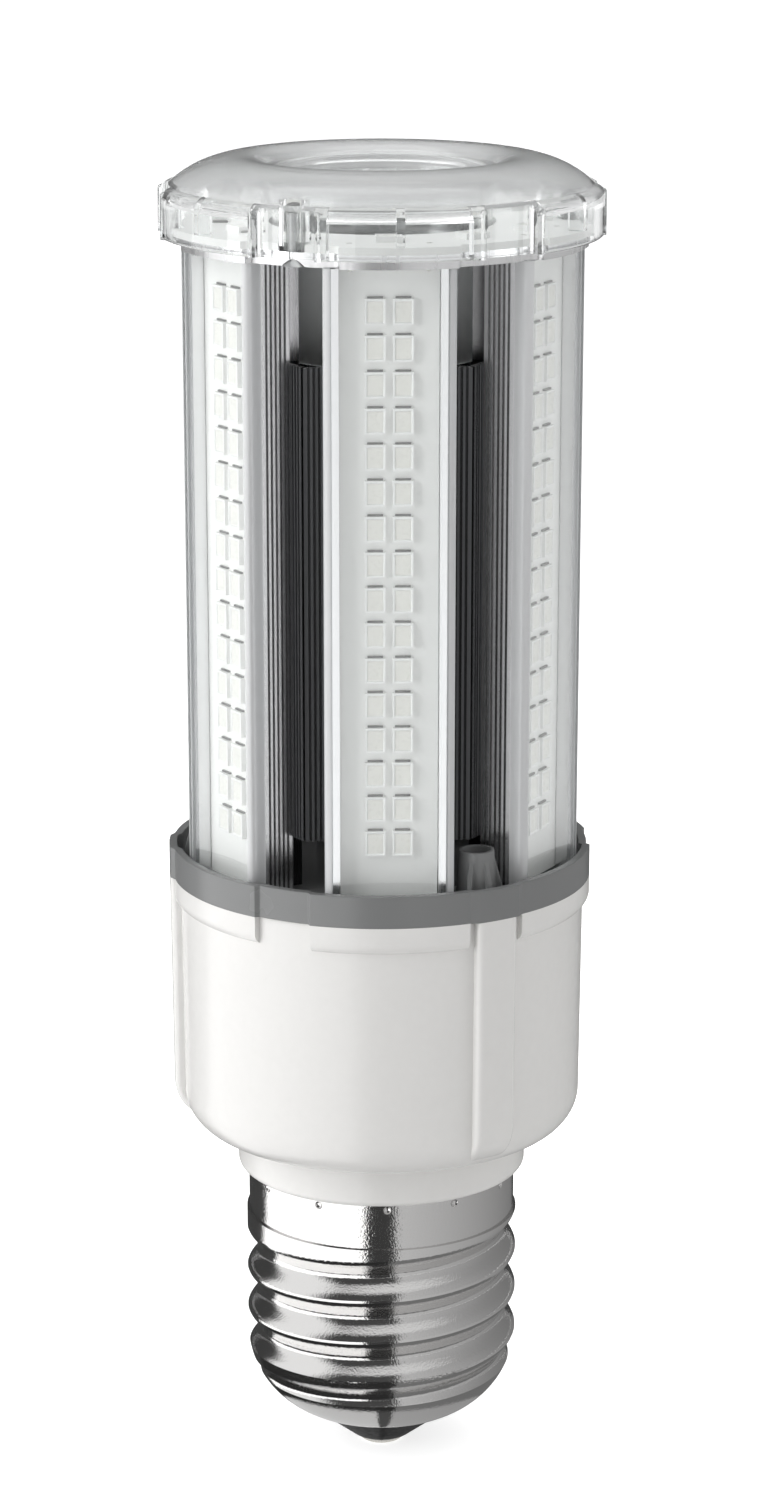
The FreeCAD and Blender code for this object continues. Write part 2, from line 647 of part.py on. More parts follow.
def base_ring():
    """Grey moulded tray: lobed rim, floor, three screw bosses and the arms' screw holes."""
    rim = raised(lobed_outline(0), BODY_TOP, RIM_HEIGHT)
    pocket = raised(lobed_outline(RIM_WALL), ARM_BOTTOM, RIM_HEIGHT)
    tray = rim.cut(pocket)
    whole = joined([tray] + ring_of(screw_boss(), BOSS_ANGLES))
    arm_hole = upside_down(countersink(FLAT_HEAD_RADIUS, SCREW_RADIUS, RING_FLOOR))
    arm_hole = moved(arm_hole, polar(PORT_CENTRE, 0, BODY_TOP))
    holes = ring_of(boss_mouth(), BOSS_ANGLES) + ring_of(arm_hole, even_angles(ARM_COUNT))
    holes.append(rod(CORE_HOLE_RADIUS, RING_FLOOR, Vector(0, 0, BODY_TOP)))
    return whole.cut(Part.makeCompound(holes))


def wing_end(depth):
    """How far a wing reaches sideways at a depth, short of the line between two arms."""
    return depth * math.tan(math.radians(ARM_STEP / 2)) - WING_GAP


def arm_wings():
    """Flat wings behind an arm's sides that close the slots to the arms beside it.

    They start above the ring's bosses and end past the foot of the cap's well, so that air leaves
    round the well.
    """
    back = SIDE_BACK - WING_THICKNESS
    bottom = ARM_BOTTOM + BOSS_HEIGHT + WING_CLEARANCE
    corners = [(CHANNEL_HALF_WIDTH, back), (wing_end(back), back),
               (wing_end(SIDE_BACK), SIDE_BACK), (CHANNEL_HALF_WIDTH, SIDE_BACK),
               (CHANNEL_HALF_WIDTH, back)]
    wings = []
    for side in (-1, 1):
        face = Part.Face(Part.makePolygon([Vector(side * u, -depth, 0) for u, depth in corners]))
        wings.append(raised(face, bottom, WELL_BOTTOM + WING_OVERLAP - bottom))
    return wings


def heatsink_arm():
    """Aluminium extrusion: board seat, ribbed sides and wings, cover lips, fins and screw port."""
    inner = CHANNEL_HALF_WIDTH
    outer = EXTRUSION_WIDTH / 2
    lip_outer = inner + LIP_WALL
    bead_outer = COVER_WIDTH / 2 - COVER_SIDE_WALL - SLIDE_GAP
    side_top = SIDE_BACK + SIDE_HEIGHT
    lip_top = side_top + LIP_RISE
    seat_back = SEAT - SEAT_THICKNESS
    faces = [arm_rectangle(-inner, inner, seat_back, SEAT)]
    faces += mirrored_rectangles(inner, outer, SIDE_BACK, side_top)
    faces += mirrored_rectangles(inner, lip_outer, side_top, lip_top)
    faces += mirrored_rectangles(lip_outer, bead_outer, lip_top - BEAD_HEIGHT, lip_top)
    for index in (2, 3):
        middle = index * FIN_PITCH
        faces += mirrored_rectangles(middle - FIN_THICKNESS / 2, middle + FIN_THICKNESS / 2,
                                     FIN_BACK, seat_back)
    port_centre = Vector(0, -PORT_CENTRE, 0)
    port = Part.Face(Part.Wire(Part.makeCircle(SCREW_RADIUS + PORT_WALL, port_centre)))
    bore = Part.Face(Part.Wire(Part.makeCircle(SCREW_RADIUS, port_centre)))
    slit = arm_rectangle(-PORT_SLIT / 2, PORT_SLIT / 2, FIN_BACK - SCREW_RADIUS, PORT_CENTRE)
    first_groove = SIDE_BACK + (SIDE_HEIGHT - RIB_PITCH * (RIB_COUNT - 1) + RIB_GAP) / 2
    grooves = []
    for index in range(RIB_COUNT - 1):
        back = first_groove + index * RIB_PITCH
        grooves += mirrored_rectangles(outer - RIB_DEPTH, outer + RIB_DEPTH, back, back + RIB_GAP)
    wing_tip = wing_end(SIDE_BACK)
    for index in range(1, int((wing_tip - outer) / RIB_PITCH) + 1):
        middle = wing_tip - index * RIB_PITCH
        grooves += mirrored_rectangles(middle - RIB_GAP / 2, middle + RIB_GAP / 2,
                                       SIDE_BACK - RIB_DEPTH, SIDE_BACK + RIB_DEPTH)
    whole = joined(drawn_arm(faces + [port]) + arm_wings())
    return whole.cut(Part.makeCompound(drawn_arm([bore, slit] + grooves))).Solids[0]


def arm_cover():
    """Clear extruded cover: a face, two rolled corners and side walls that hook on the arm."""
    half = COVER_WIDTH / 2
    inside = half - COVER_SIDE_WALL
    lip_outer = CHANNEL_HALF_WIDTH + LIP_WALL
    bead_bottom = SIDE_BACK + SIDE_HEIGHT + LIP_RISE - BEAD_HEIGHT
    hook_top = bead_bottom - SLIDE_GAP
    outline = arm_rectangle(-half, half, COVER_SIDE_END, COVER_FACE)
    channel = arm_rectangle(-inside, inside, SIDE_BACK, COVER_FACE - COVER_FACE_WALL)
    hooks = mirrored_rectangles(lip_outer + SLIDE_GAP, inside, COVER_SIDE_END, hook_top)
    walls = drawn_arm([outline])[0].cut(drawn_arm([channel])[0])
    cover = joined([walls] + drawn_arm(hooks)).Solids[0]
    corners = [edge for edge in cover.Edges
               if edge.BoundBox.ZLength > ARM_LENGTH / 2
               and abs(edge.BoundBox.YMin + COVER_FACE) < 0.01]
    return cover.makeFillet(COVER_CORNER, corners)


def led_board():
    """White-faced aluminium board that slides in behind the lips of an arm."""
    face = arm_rectangle(-BOARD_WIDTH / 2, BOARD_WIDTH / 2, SEAT, BOARD_FACE)
    return raised(face, ARM_BOTTOM + BOARD_INSET, ARM_LENGTH - 2 * BOARD_INSET)


def strip_leds():
    """Two columns of LED packages soldered to an arm's board."""
    packages = []
    for row in range(LED_ROWS):
        bottom = ARM_BOTTOM + LED_FOOT + row * LED_PITCH
        for side in (-1, 1):
            packages.append(block(LED_WIDTH, LED_HEIGHT, LED_LENGTH, side * LED_COLUMN_PITCH / 2,
                                  -BOARD_FACE - LED_HEIGHT / 2, bottom))
    return Part.makeCompound(packages)


def slot_prism(inner, outer, half_angle, bottom, top):
    """A block between two radii at the front, with its two inner upright corners rounded."""
    prism = sector(chain([(inner, bottom), (outer, bottom), (outer, top), (inner, top),
                          (inner, bottom)]), half_angle, 0)
    corners = [edge for edge in prism.Edges
               if edge.BoundBox.XLength < 0.01 and edge.BoundBox.YLength < 0.01
               and math.hypot(edge.BoundBox.XMin, edge.BoundBox.YMin) < (inner + outer) / 2]
    return prism.makeFillet(POCKET_ROUND, corners)


def notched_disc(radius, thickness, bottom):
    """A disc with a bore for the air well, edge notches at the cap's pockets and boss holes."""
    disc = rod(radius, thickness, Vector(0, 0, bottom))
    top = bottom + thickness
    notch_radius = POCKET_RADIUS - CAP_WALL - POCKET_GAP
    half_angle = ARM_STEP / 2 - CAP_RIB_ANGLE + 2 * CAP_TURN
    notch = slot_prism(notch_radius, CAP_RADIUS, half_angle, bottom, top)
    cuts = [rod(WELL_HOLE_RADIUS, thickness, Vector(0, 0, bottom))]
    return disc.cut(Part.makeCompound(cuts + ring_of(notch, CAP_SLOT_ANGLES)))


def top_plate():
    """Aluminium disc that ties the arms together and backs the top board."""
    arm_hole = countersink(FLAT_HEAD_RADIUS, SCREW_RADIUS, PLATE_THICKNESS)
    holes = ring_of(moved(arm_hole, polar(PORT_CENTRE, 0, PLATE_TOP)), even_angles(ARM_COUNT))
    cap_hole = upside_down(countersink(CAP_HEAD_RADIUS, CAP_SCREW_RADIUS, PLATE_THICKNESS))
    holes += ring_of(moved(cap_hole, polar(CAP_BOSS_PITCH_RADIUS, 0, ARM_TOP)), CAP_BOSS_ANGLES)
    holes += link_holes(ARM_TOP, PLATE_THICKNESS)
    return notched_disc(PLATE_RADIUS, PLATE_THICKNESS, ARM_TOP).cut(Part.makeCompound(holes))


def link_places():
    """Where each arm's two link wires stand, against the face of its board."""
    depth = BOARD_FACE + LINK_RADIUS + SLIDE_GAP / 2
    return [(side * LINK_SPACING / 2, -depth) for side in (-1, 1)]


def link_holes(bottom, height):
    """Clearance holes for all the link wires."""
    holes = []
    for x, y in link_places():
        hole = rod(LINK_RADIUS + SCREW_GAP, height, Vector(x, y, bottom))
        holes += ring_of(hole, even_angles(ARM_COUNT))
    return holes


def link_wires():
    """Bare wires that join the top of each arm's board to the top board."""
    bottom = ARM_TOP - BOARD_INSET - LINK_OVERLAP
    wires = []
    for x, y in link_places():
        wire = rod(LINK_RADIUS, TOP_BOARD_FACE - bottom, Vector(x, y, bottom))
        wires += ring_of(wire, even_angles(ARM_COUNT))
    return Part.makeCompound(wires)


def top_led_board():
    """White-faced ring board under the cap, notched for the cap's screw bosses."""
    notch = rod(CAP_BOSS_RADIUS + SLIDE_GAP, TOP_BOARD_THICKNESS,
                polar(CAP_BOSS_PITCH_RADIUS, 0, PLATE_TOP))
    cuts = ring_of(notch, CAP_BOSS_ANGLES) + link_holes(PLATE_TOP, TOP_BOARD_THICKNESS)
    board = notched_disc(TOP_BOARD_RADIUS, TOP_BOARD_THICKNESS, PLATE_TOP)
    return board.cut(Part.makeCompound(cuts))


def top_leds():
    """LED packages in a circle on the top board."""
    package = block(LED_LENGTH, LED_WIDTH, LED_HEIGHT, 0, -TOP_LED_RADIUS, TOP_BOARD_FACE)
    return Part.makeCompound(ring_of(package, even_angles(TOP_LED_COUNT)))


def crown_bend(run, drop, wall, reach):
    """Part of the cap's top that leaves the crest level, with the point where it ends.

    The outer face falls by drop over run. The edge lies a wall's depth under it and ends at
    reach from the crest.
    """
    outer = (run ** 2 + drop ** 2) / (2 * drop)
    radius, foot = outer - wall, CAP_CREST - outer
    end = (CAP_CREST_RADIUS + reach, foot + math.sqrt(radius ** 2 - reach ** 2))
    return bend((CAP_CREST_RADIUS, foot), radius, 90, math.degrees(math.acos(reach / radius))), end


def cap_section():
    """The cap's wall in section: rim, side, domed top and the tapered well down its middle."""
    side_top, inner = CAP_BOTTOM + CAP_SIDE, CAP_RADIUS - CAP_WALL
    run = CAP_RADIUS - CAP_SHOULDER - CAP_CREST_RADIUS
    drop = CAP_CREST - side_top - CAP_SHOULDER
    mouth_run = WELL_RADIUS + WELL_ROUND - CAP_CREST_RADIUS
    crown, _ = crown_bend(run, drop, 0, run)
    crown_under, under_end = crown_bend(run, drop, CAP_WALL, inner - CAP_CREST_RADIUS)
    mouth, mouth_end = crown_bend(mouth_run, MOUTH_DROP, 0, mouth_run)
    mouth_under, neck_end = crown_bend(mouth_run, MOUTH_DROP, CAP_WALL, mouth_run + WELL_WALL)
    well_top, neck_top = mouth_end[1] - WELL_ROUND, neck_end[1] - WELL_ROUND
    foot = WELL_RADIUS - WELL_TAPER
    neck = WELL_RADIUS + WELL_WALL
    edge = (CAP_RADIUS - CAP_EDGE, CAP_BOTTOM + CAP_EDGE)
    edges = chain([under_end, (inner, CAP_BOTTOM), (edge[0], CAP_BOTTOM)])
    edges += [bend(edge, CAP_EDGE, -90, 0), line((CAP_RADIUS, edge[1]), (CAP_RADIUS, side_top)),
              bend((CAP_RADIUS - CAP_SHOULDER, side_top), CAP_SHOULDER, 0, 90), crown, mouth,
              bend((mouth_end[0], well_top), WELL_ROUND, 90, 180)]
    edges += chain([(WELL_RADIUS, well_top), (foot, WELL_BOTTOM), (foot + WELL_WALL, WELL_BOTTOM),
                    (neck, neck_top)])
    edges += [bend((neck_end[0], neck_top), WELL_ROUND, 180, 90), mouth_under, crown_under]
    return edges


def pocket_backing():
    """The part of the cap's wall that stands inwards behind an outer pocket."""
    back = POCKET_RADIUS - CAP_WALL
    side_top = CAP_BOTTOM + CAP_SIDE
    section = chain([(back, CAP_BOTTOM), (back, side_top + CAP_WALL),
                     (CAP_RADIUS - 2 * CAP_WALL, side_top + CAP_WALL),
                     (CAP_RADIUS - CAP_WALL / 2, side_top), (CAP_RADIUS - CAP_WALL / 2, CAP_BOTTOM),
                     (back, CAP_BOTTOM)])
    return sector(section, POCKET_HALF_ANGLE + CAP_TURN, 0)


def cap_cover():
    """Clear moulded cap: air well, outer pockets, edge ribs, hold-down stays and screw bosses."""
    side_top = CAP_BOTTOM + CAP_SIDE
    parts = [revolved(cap_section())] + ring_of(pocket_backing(), CAP_SLOT_ANGLES)
    rib_radius = CAP_RADIUS + CAP_RIB_PROUD - CAP_RIB_RADIUS
    rib_top = side_top + CAP_RIB_RISE
    rib = rod(CAP_RIB_RADIUS, rib_top - CAP_BOTTOM, polar(rib_radius, 0, CAP_BOTTOM))
    rib = rib.fuse(Part.makeSphere(CAP_RIB_RADIUS, polar(rib_radius, 0, rib_top)))
    inner = CAP_RADIUS - CAP_WALL
    stay_bottom = TOP_BOARD_FACE + SLIDE_GAP
    stay = block(STAY_THICKNESS, STAY_WIDTH, side_top + STAY_RISE - stay_bottom, 0,
                 -inner - CAP_WALL / 2 + STAY_WIDTH / 2, stay_bottom)
    for middle in even_angles(ARM_COUNT, CAP_TURN):
        parts += ring_of(rib, [middle - CAP_RIB_ANGLE, middle + CAP_RIB_ANGLE])
        parts.append(turned(stay, middle))
    boss = rod(CAP_BOSS_RADIUS, side_top + CAP_SHOULDER - PLATE_TOP,
               polar(CAP_BOSS_PITCH_RADIUS, 0, PLATE_TOP))
    parts += ring_of(boss, CAP_BOSS_ANGLES)
    pocket = slot_prism(POCKET_RADIUS, CAP_RADIUS + POCKET_DEPTH, POCKET_HALF_ANGLE,
                        WELL_BOTTOM, CAP_CREST)
    bore_length = CAP_SCREW_LENGTH - PLATE_THICKNESS
    bore = rod(CAP_SCREW_RADIUS, bore_length, polar(CAP_BOSS_PITCH_RADIUS, 0, PLATE_TOP))
    cuts = ring_of(pocket, CAP_SLOT_ANGLES) + ring_of(bore, CAP_BOSS_ANGLES)
    return joined(parts).cut(Part.makeCompound(cuts))


def cap_screws():
    """Three sunk screws up through the top plate into the cap's bosses."""
    screw = upside_down(flat_head_screw(CAP_HEAD_RADIUS, CAP_SCREW_RADIUS, CAP_SCREW_LENGTH))
    placed = moved(screw, polar(CAP_BOSS_PITCH_RADIUS, 0, ARM_TOP))
    return Part.makeCompound(ring_of(placed, CAP_BOSS_ANGLES))


def top_arm_screws():
    """Sunk screws down through the top plate into the arms' screw ports."""
    screw = flat_head_screw(FLAT_HEAD_RADIUS, SCREW_RADIUS, ARM_SCREW_LENGTH)
    placed = moved(screw, polar(PORT_CENTRE, 0, PLATE_TOP))
    return Part.makeCompound(ring_of(placed, even_angles(ARM_COUNT)))


def bottom_arm_screws():
    """Sunk screws up through the ring's floor into the arms' screw ports."""
    screw = upside_down(flat_head_screw(FLAT_HEAD_RADIUS, SCREW_RADIUS, ARM_SCREW_LENGTH))
    placed = moved(screw, polar(PORT_CENTRE, 0, BODY_TOP))
    return Part.makeCompound(ring_of(placed, even_angles(ARM_COUNT)))


def ring_screws():
    """Pan-head screws down the ring's bosses into the housing's posts."""
    screw = pan_head_screw(SCREW_RADIUS, RING_SCREW_LENGTH)
    placed = moved(screw, polar(BOSS_PITCH_RADIUS, 0, ARM_BOTTOM + BOSS_SHELF))
    return Part.makeCompound(ring_of(placed, BOSS_ANGLES))


def driver_board():
    """Upright driver board: a wide part in the body and a tongue down the neck."""
    wide = block(DRIVER_WIDTH, DRIVER_THICKNESS, DRIVER_HEIGHT, 0, DRIVER_SET_BACK, HOUSING_FLOOR)
    tongue = block(TONGUE_WIDTH, DRIVER_THICKNESS, TONGUE_LENGTH, 0, DRIVER_SET_BACK,
                   HOUSING_FLOOR - TONGUE_LENGTH)
    return joined([wide, tongue])


def transformer_core():
    """Two-window ferrite core held off the board by its coil."""
    core = block(CORE_WIDTH, CORE_DEPTH, CORE_HEIGHT, TRANSFORMER_X, TRANSFORMER_MIDDLE,
                 TRANSFORMER_BOTTOM)
    offset = (CORE_LEG + CORE_WINDOW) / 2
    holes = [block(CORE_WINDOW, CORE_DEPTH, CORE_HEIGHT - 2 * CORE_YOKE,
                   TRANSFORMER_X + side * offset, TRANSFORMER_MIDDLE,
                   TRANSFORMER_BOTTOM + CORE_YOKE) for side in (-1, 1)]
    return core.cut(Part.makeCompound(holes))


def transformer_coil():
    """Wound bobbin round the core's middle leg."""
    width = CORE_LEG + 2 * (CORE_WINDOW - COIL_GAP)
    height = CORE_HEIGHT - 2 * CORE_YOKE - 2 * COIL_GAP
    place = (TRANSFORMER_X, TRANSFORMER_MIDDLE, TRANSFORMER_BOTTOM + CORE_YOKE + COIL_GAP)
    leg = block(CORE_LEG + 2 * COIL_GAP, CORE_DEPTH + 2 * COIL_GAP, height, *place)
    return block(width, COIL_DEPTH, height, *place).cut(leg)


def bulk_capacitors():
    """Two upright electrolytic cans, one on each face of the driver board."""
    bottom, offset = HOUSING_FLOOR + BULK_LIFT, BULK_RADIUS + SLIDE_GAP
    front = rod(BULK_RADIUS, BULK_LENGTH, Vector(BULK_FRONT_X, DRIVER_FRONT - offset, bottom))
    rear = rod(BULK_RADIUS, BULK_LENGTH, Vector(BULK_REAR_X, DRIVER_BACK + offset, bottom))
    return Part.makeCompound([front, rear])


def line_inductor():
    """Wound drum core on the tongue in the neck."""
    flange = INDUCTOR_LENGTH / 6
    upper = INDUCTOR_LENGTH - flange
    waist = INDUCTOR_RADIUS - INDUCTOR_WAIST
    drum = revolved(chain([(0, 0), (INDUCTOR_RADIUS, 0), (INDUCTOR_RADIUS, flange),
                           (waist, flange), (waist, upper), (INDUCTOR_RADIUS, upper),
                           (INDUCTOR_RADIUS, INDUCTOR_LENGTH), (0, INDUCTOR_LENGTH), (0, 0)]))
    return moved(drum, Vector(INDUCTOR_X, DRIVER_FRONT - INDUCTOR_RADIUS - SLIDE_GAP,
                              TONGUE_BOTTOM + TONGUE_PART_LIFT))


def fuse_resistor():
    """Sleeved fusible resistor on the tongue."""
    place = Vector(FUSE_X, DRIVER_FRONT - FUSE_RADIUS - SLIDE_GAP,
                   TONGUE_BOTTOM + TONGUE_PART_LIFT)
    return rod(FUSE_RADIUS, FUSE_LENGTH, place)


def bridge_rectifier():
    """Flat bridge package on the back of the tongue."""
    return block(BRIDGE_WIDTH, BRIDGE_THICKNESS, BRIDGE_HEIGHT, 0,
                 DRIVER_BACK + BRIDGE_THICKNESS / 2, HOUSING_FLOOR - BRIDGE_DROP)


def power_transistor():
    """Flat power package on the back of the board."""
    return block(TRANSISTOR_WIDTH, TRANSISTOR_THICKNESS, TRANSISTOR_HEIGHT, TRANSISTOR_X,
                 DRIVER_BACK + TRANSISTOR_THICKNESS / 2, HOUSING_FLOOR + TRANSISTOR_LIFT)


def transistor_heatsink():
    """Aluminium plate on the transistor's back, standing on the housing's floor."""
    centre_y = DRIVER_BACK + TRANSISTOR_THICKNESS + SINK_THICKNESS / 2
    return block(SINK_WIDTH, SINK_THICKNESS, SINK_HEIGHT, TRANSISTOR_X, centre_y, HOUSING_FLOOR)


def contact_lead():
    """Wire from the centre contact up to the foot of the driver board."""
    return tangent_lead([Vector(0, 0, RIVET_LENGTH), Vector(0, 0, RIVET_LENGTH + CONTACT_LEAD_RISE),
                         Vector(0, DRIVER_SET_BACK, TONGUE_BOTTOM - CONTACT_LEAD_DROP),
                         Vector(0, DRIVER_SET_BACK, TONGUE_BOTTOM)])


def shell_lead():
    """Wire from the foot of the driver board out to the inside of the screw shell."""
    wall = math.sqrt(SHELL_BORE ** 2 - DRIVER_SET_BACK ** 2) - LEAD_RADIUS
    low = wall - SHELL_LEAD_SET_IN
    stations = [(SHELL_LEAD_X, 0)] + list(zip((SHELL_LEAD_X, low, low + SHELL_LEAD_SLOPE),
                                              SHELL_LEAD_DROPS))
    return tangent_lead([Vector(x, DRIVER_SET_BACK, TONGUE_BOTTOM - drop) for x, drop in stations])


def build():
    """Every node of the lamp by name."""
    nodes = {
        "screw_shell": screw_shell(), "base_insulator": base_insulator(),
        "centre_contact": centre_contact(), "driver_housing": driver_housing(),
        "base_ring": base_ring(), "ring_screws": ring_screws(),
        "bottom_arm_screws": bottom_arm_screws(), "top_plate": top_plate(),
        "top_arm_screws": top_arm_screws(), "top_led_board": top_led_board(),
        "top_leds": top_leds(), "link_wires": link_wires(), "cap_cover": cap_cover(),
        "cap_screws": cap_screws(), "driver_board": driver_board(),
        "transformer_core": transformer_core(), "transformer_coil": transformer_coil(),
        "bulk_capacitors": bulk_capacitors(), "line_inductor": line_inductor(),
        "fuse_resistor": fuse_resistor(), "bridge_rectifier": bridge_rectifier(),
        "power_transistor": power_transistor(), "transistor_heatsink": transistor_heatsink(),
        "contact_lead": contact_lead(), "shell_lead": shell_lead(),
    }
    arm_pieces = {"heatsink_arm": heatsink_arm(), "led_board": led_board(),
                  "strip_leds": strip_leds(), "arm_cover": arm_cover()}
    for index, angle in enumerate(even_angles(ARM_COUNT), start=1):
        for name, shape in arm_pieces.items():
            nodes[f"{name}_{index}"] = turned(shape, angle)
    return nodes


os.makedirs("parts", exist_ok=True)
for node, shape in build().items():
    shape.exportStep(f"parts/{node}.step")
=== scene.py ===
import math

import bmesh
import bpy
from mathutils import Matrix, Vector


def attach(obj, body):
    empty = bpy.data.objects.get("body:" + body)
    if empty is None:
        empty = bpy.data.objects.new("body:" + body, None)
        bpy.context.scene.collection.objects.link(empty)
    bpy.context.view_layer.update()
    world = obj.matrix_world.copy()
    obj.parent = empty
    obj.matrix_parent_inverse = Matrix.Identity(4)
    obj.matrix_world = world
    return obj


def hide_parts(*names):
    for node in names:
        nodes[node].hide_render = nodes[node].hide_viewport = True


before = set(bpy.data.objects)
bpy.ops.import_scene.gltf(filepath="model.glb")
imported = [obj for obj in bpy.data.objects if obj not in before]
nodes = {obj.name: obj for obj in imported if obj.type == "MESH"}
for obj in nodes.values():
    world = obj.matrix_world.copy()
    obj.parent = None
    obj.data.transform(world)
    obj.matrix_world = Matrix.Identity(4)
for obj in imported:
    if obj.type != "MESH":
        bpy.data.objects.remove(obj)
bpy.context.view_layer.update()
MM = 0.001

# ---------------------------------------------------------------------------
# Camera. The lamp stands on its contact tip and is seen from a little above,
# with the lens shifted as a view camera's is.
CAMERA_TURN = -2.47
CAMERA_DISTANCE = 565.12 * MM
CAMERA_HEIGHT = 252.04 * MM
CAMERA_PITCH = 17.28
FOCAL_PIXELS = 4095
FRAME_HEIGHT = 1500
SENSOR = 36.0
LENS_CENTRE = (1.6, 200.0)

camera_data = bpy.data.cameras.new("view_camera")
camera_data.sensor_fit = "VERTICAL"
camera_data.sensor_height = SENSOR
camera_data.lens = SENSOR * FOCAL_PIXELS / FRAME_HEIGHT
camera_data.shift_x = LENS_CENTRE[0] / FRAME_HEIGHT
camera_data.shift_y = LENS_CENTRE[1] / FRAME_HEIGHT
camera_data.clip_start = 0.01
camera = bpy.data.objects.new("view_camera", camera_data)
turn = math.radians(CAMERA_TURN)
camera.location = (CAMERA_DISTANCE * math.sin(turn), -CAMERA_DISTANCE * math.cos(turn), CAMERA_HEIGHT)
camera.rotation_euler = (math.radians(90 - CAMERA_PITCH), 0, turn)
bpy.context.scene.collection.objects.link(camera)
bpy.context.scene.camera = camera

# ---------------------------------------------------------------------------
# Studio. White paper under the lamp and behind it, one broad soft box on the
# left, a weaker one on the right and one overhead. Bright metal shows the room
# round the camera: white on the left, dark at the camera and grey on the right.


def linear(shade):
    """An sRGB hex colour as the linear colour that a shader takes."""
    parts = [int(shade[i:i + 2], 16) / 255 for i in (1, 3, 5)]
    return tuple(c / 12.92 if c <= 0.04045 else ((c + 0.055) / 1.055) ** 2.4 for c in parts) + (1.0,)


def add(tree, kind, links=None, **settings):
    """Adds a node with its settings, and its inputs as values, as outputs, or as nodes by their first output."""
    node = tree.nodes.new(kind)
    for name, value in settings.items():
        setattr(node, name, value)
    for name, value in (links or {}).items():
        if isinstance(value, bpy.types.Node):
            value = value.outputs[0]
        if isinstance(value, bpy.types.NodeSocket):
            tree.links.new(value, node.inputs[name])
        else:
            node.inputs[name].default_value = value
    return node


def new_material(name):
    """An empty node material and its tree."""
    material = bpy.data.materials.new(name)
    material.use_nodes = True
    material.node_tree.nodes.clear()
    return material, material.node_tree


def link_object(name, data):
    """A new object at the origin for a mesh or a lamp."""
    thing = bpy.data.objects.new(name, data)
    bpy.context.scene.collection.objects.link(thing)
    return thing


def bearing_from(tree, place, middle):
    """The bearing about Z of a direction or a place, counted from a middle one, all in radians."""
    ahead = add(tree, "ShaderNodeVectorRotate", {"Vector": place, "Angle": -middle}, rotation_type="Z_AXIS")
    parts = add(tree, "ShaderNodeSeparateXYZ", {"Vector": ahead})
    front = add(tree, "ShaderNodeMath", {0: parts.outputs["Y"], 1: -1.0}, operation="MULTIPLY")
    return add(tree, "ShaderNodeMath", {0: parts.outputs["X"], 1: front}, operation="ARCTAN2")


def grey(level):
    """A level of light as a colour without a tint."""
    return level, level, level, 1.0


# Levels of the room by bearing from the camera, in degrees, as bright metal
# shows them. Higher up the ceiling's level takes over, between two heights of a
# direction of length one. Plain surfaces get the fill from all round.
ROOM_BANDS = ((-180, 0.05), (-118, 0.06), (-108, 1.00), (-66, 1.00), (-48, 0.07), (10, 0.07),
              (14, 0.60), (60, 0.44), (110, 0.28), (160, 0.18), (180, 0.05))
CEILING, CEILING_FROM, CEILING_TO = 0.8, 0.70, 0.84
FILL = 0.52

world = bpy.data.worlds.new("studio_room")
bpy.context.scene.world = world
world.use_nodes = True
room = world.node_tree
room.nodes.clear()
path = add(room, "ShaderNodeLightPath").outputs
direction = add(room, "ShaderNodeTexCoord").outputs["Generated"]
share = add(room, "ShaderNodeMapRange", {"Value": bearing_from(room, direction, turn),
                                         "From Min": -math.pi, "From Max": math.pi})
bands = add(room, "ShaderNodeValToRGB", {"Fac": share})
stops = bands.color_ramp.elements
for index, (angle, level) in enumerate(ROOM_BANDS):
    spot = (angle + 180) / 360
    stop = stops[index] if index < 2 else stops.new(spot)
    stop.position, stop.color = spot, grey(level)
height = add(room, "ShaderNodeSeparateXYZ", {"Vector": direction}).outputs["Z"]
overhead = add(room, "ShaderNodeMapRange", {"Value": height, "From Min": CEILING_FROM, "From Max": CEILING_TO})
shown = add(room, "ShaderNodeMix", {"Factor": overhead, 6: bands, 7: grey(CEILING)}, data_type="RGBA")
level = add(room, "ShaderNodeMix", {"Factor": path["Is Glossy Ray"], 6: grey(FILL), 7: shown.outputs[2]},
            data_type="RGBA")
fill = add(room, "ShaderNodeBackground", {"Color": level.outputs[2]})
backdrop = add(room, "ShaderNodeBackground", {"Color": linear("#FFFFFF")})
seen = add(room, "ShaderNodeMath", {0: path["Is Camera Ray"], 1: path["Is Transmission Ray"]}, operation="MAXIMUM")
mix = add(room, "ShaderNodeMixShader", {0: seen, 1: fill, 2: backdrop})
add(room, "ShaderNodeOutputWorld", {"Surface": mix})

# Soft boxes: bearing from the front in degrees, distance and height in metres,
# width and height of the face in metres, and power in watts. All aim at the
# middle of the lamp.
AIM = Vector((0, 0, 0.1))
SOFT_BOXES = {
    "soft_box_left": dict(angle=-70, distance=1.0, height=0.45, size=(0.8, 1.1), power=9.2),
    "soft_box_right": dict(angle=75, distance=1.0, height=0.35, size=(0.5, 1.0), power=2.0),
    "soft_box_top": dict(angle=170, distance=0.25, height=0.95, size=(0.8, 0.6), power=3.0),
}
for name, box in SOFT_BOXES.items():
    light = bpy.data.lights.new(name, "AREA")
    light.shape = "RECTANGLE"
    light.size, light.size_y = box["size"]
    light.energy = box["power"]
    holder = link_object(name, light)
    angle = math.radians(box["angle"])
    holder.location = (box["distance"] * math.sin(angle), -box["distance"] * math.cos(angle), box["height"])
    holder.rotation_euler = (AIM - holder.location).to_track_quat("-Z", "Y").to_euler()
    holder.visible_glossy = False


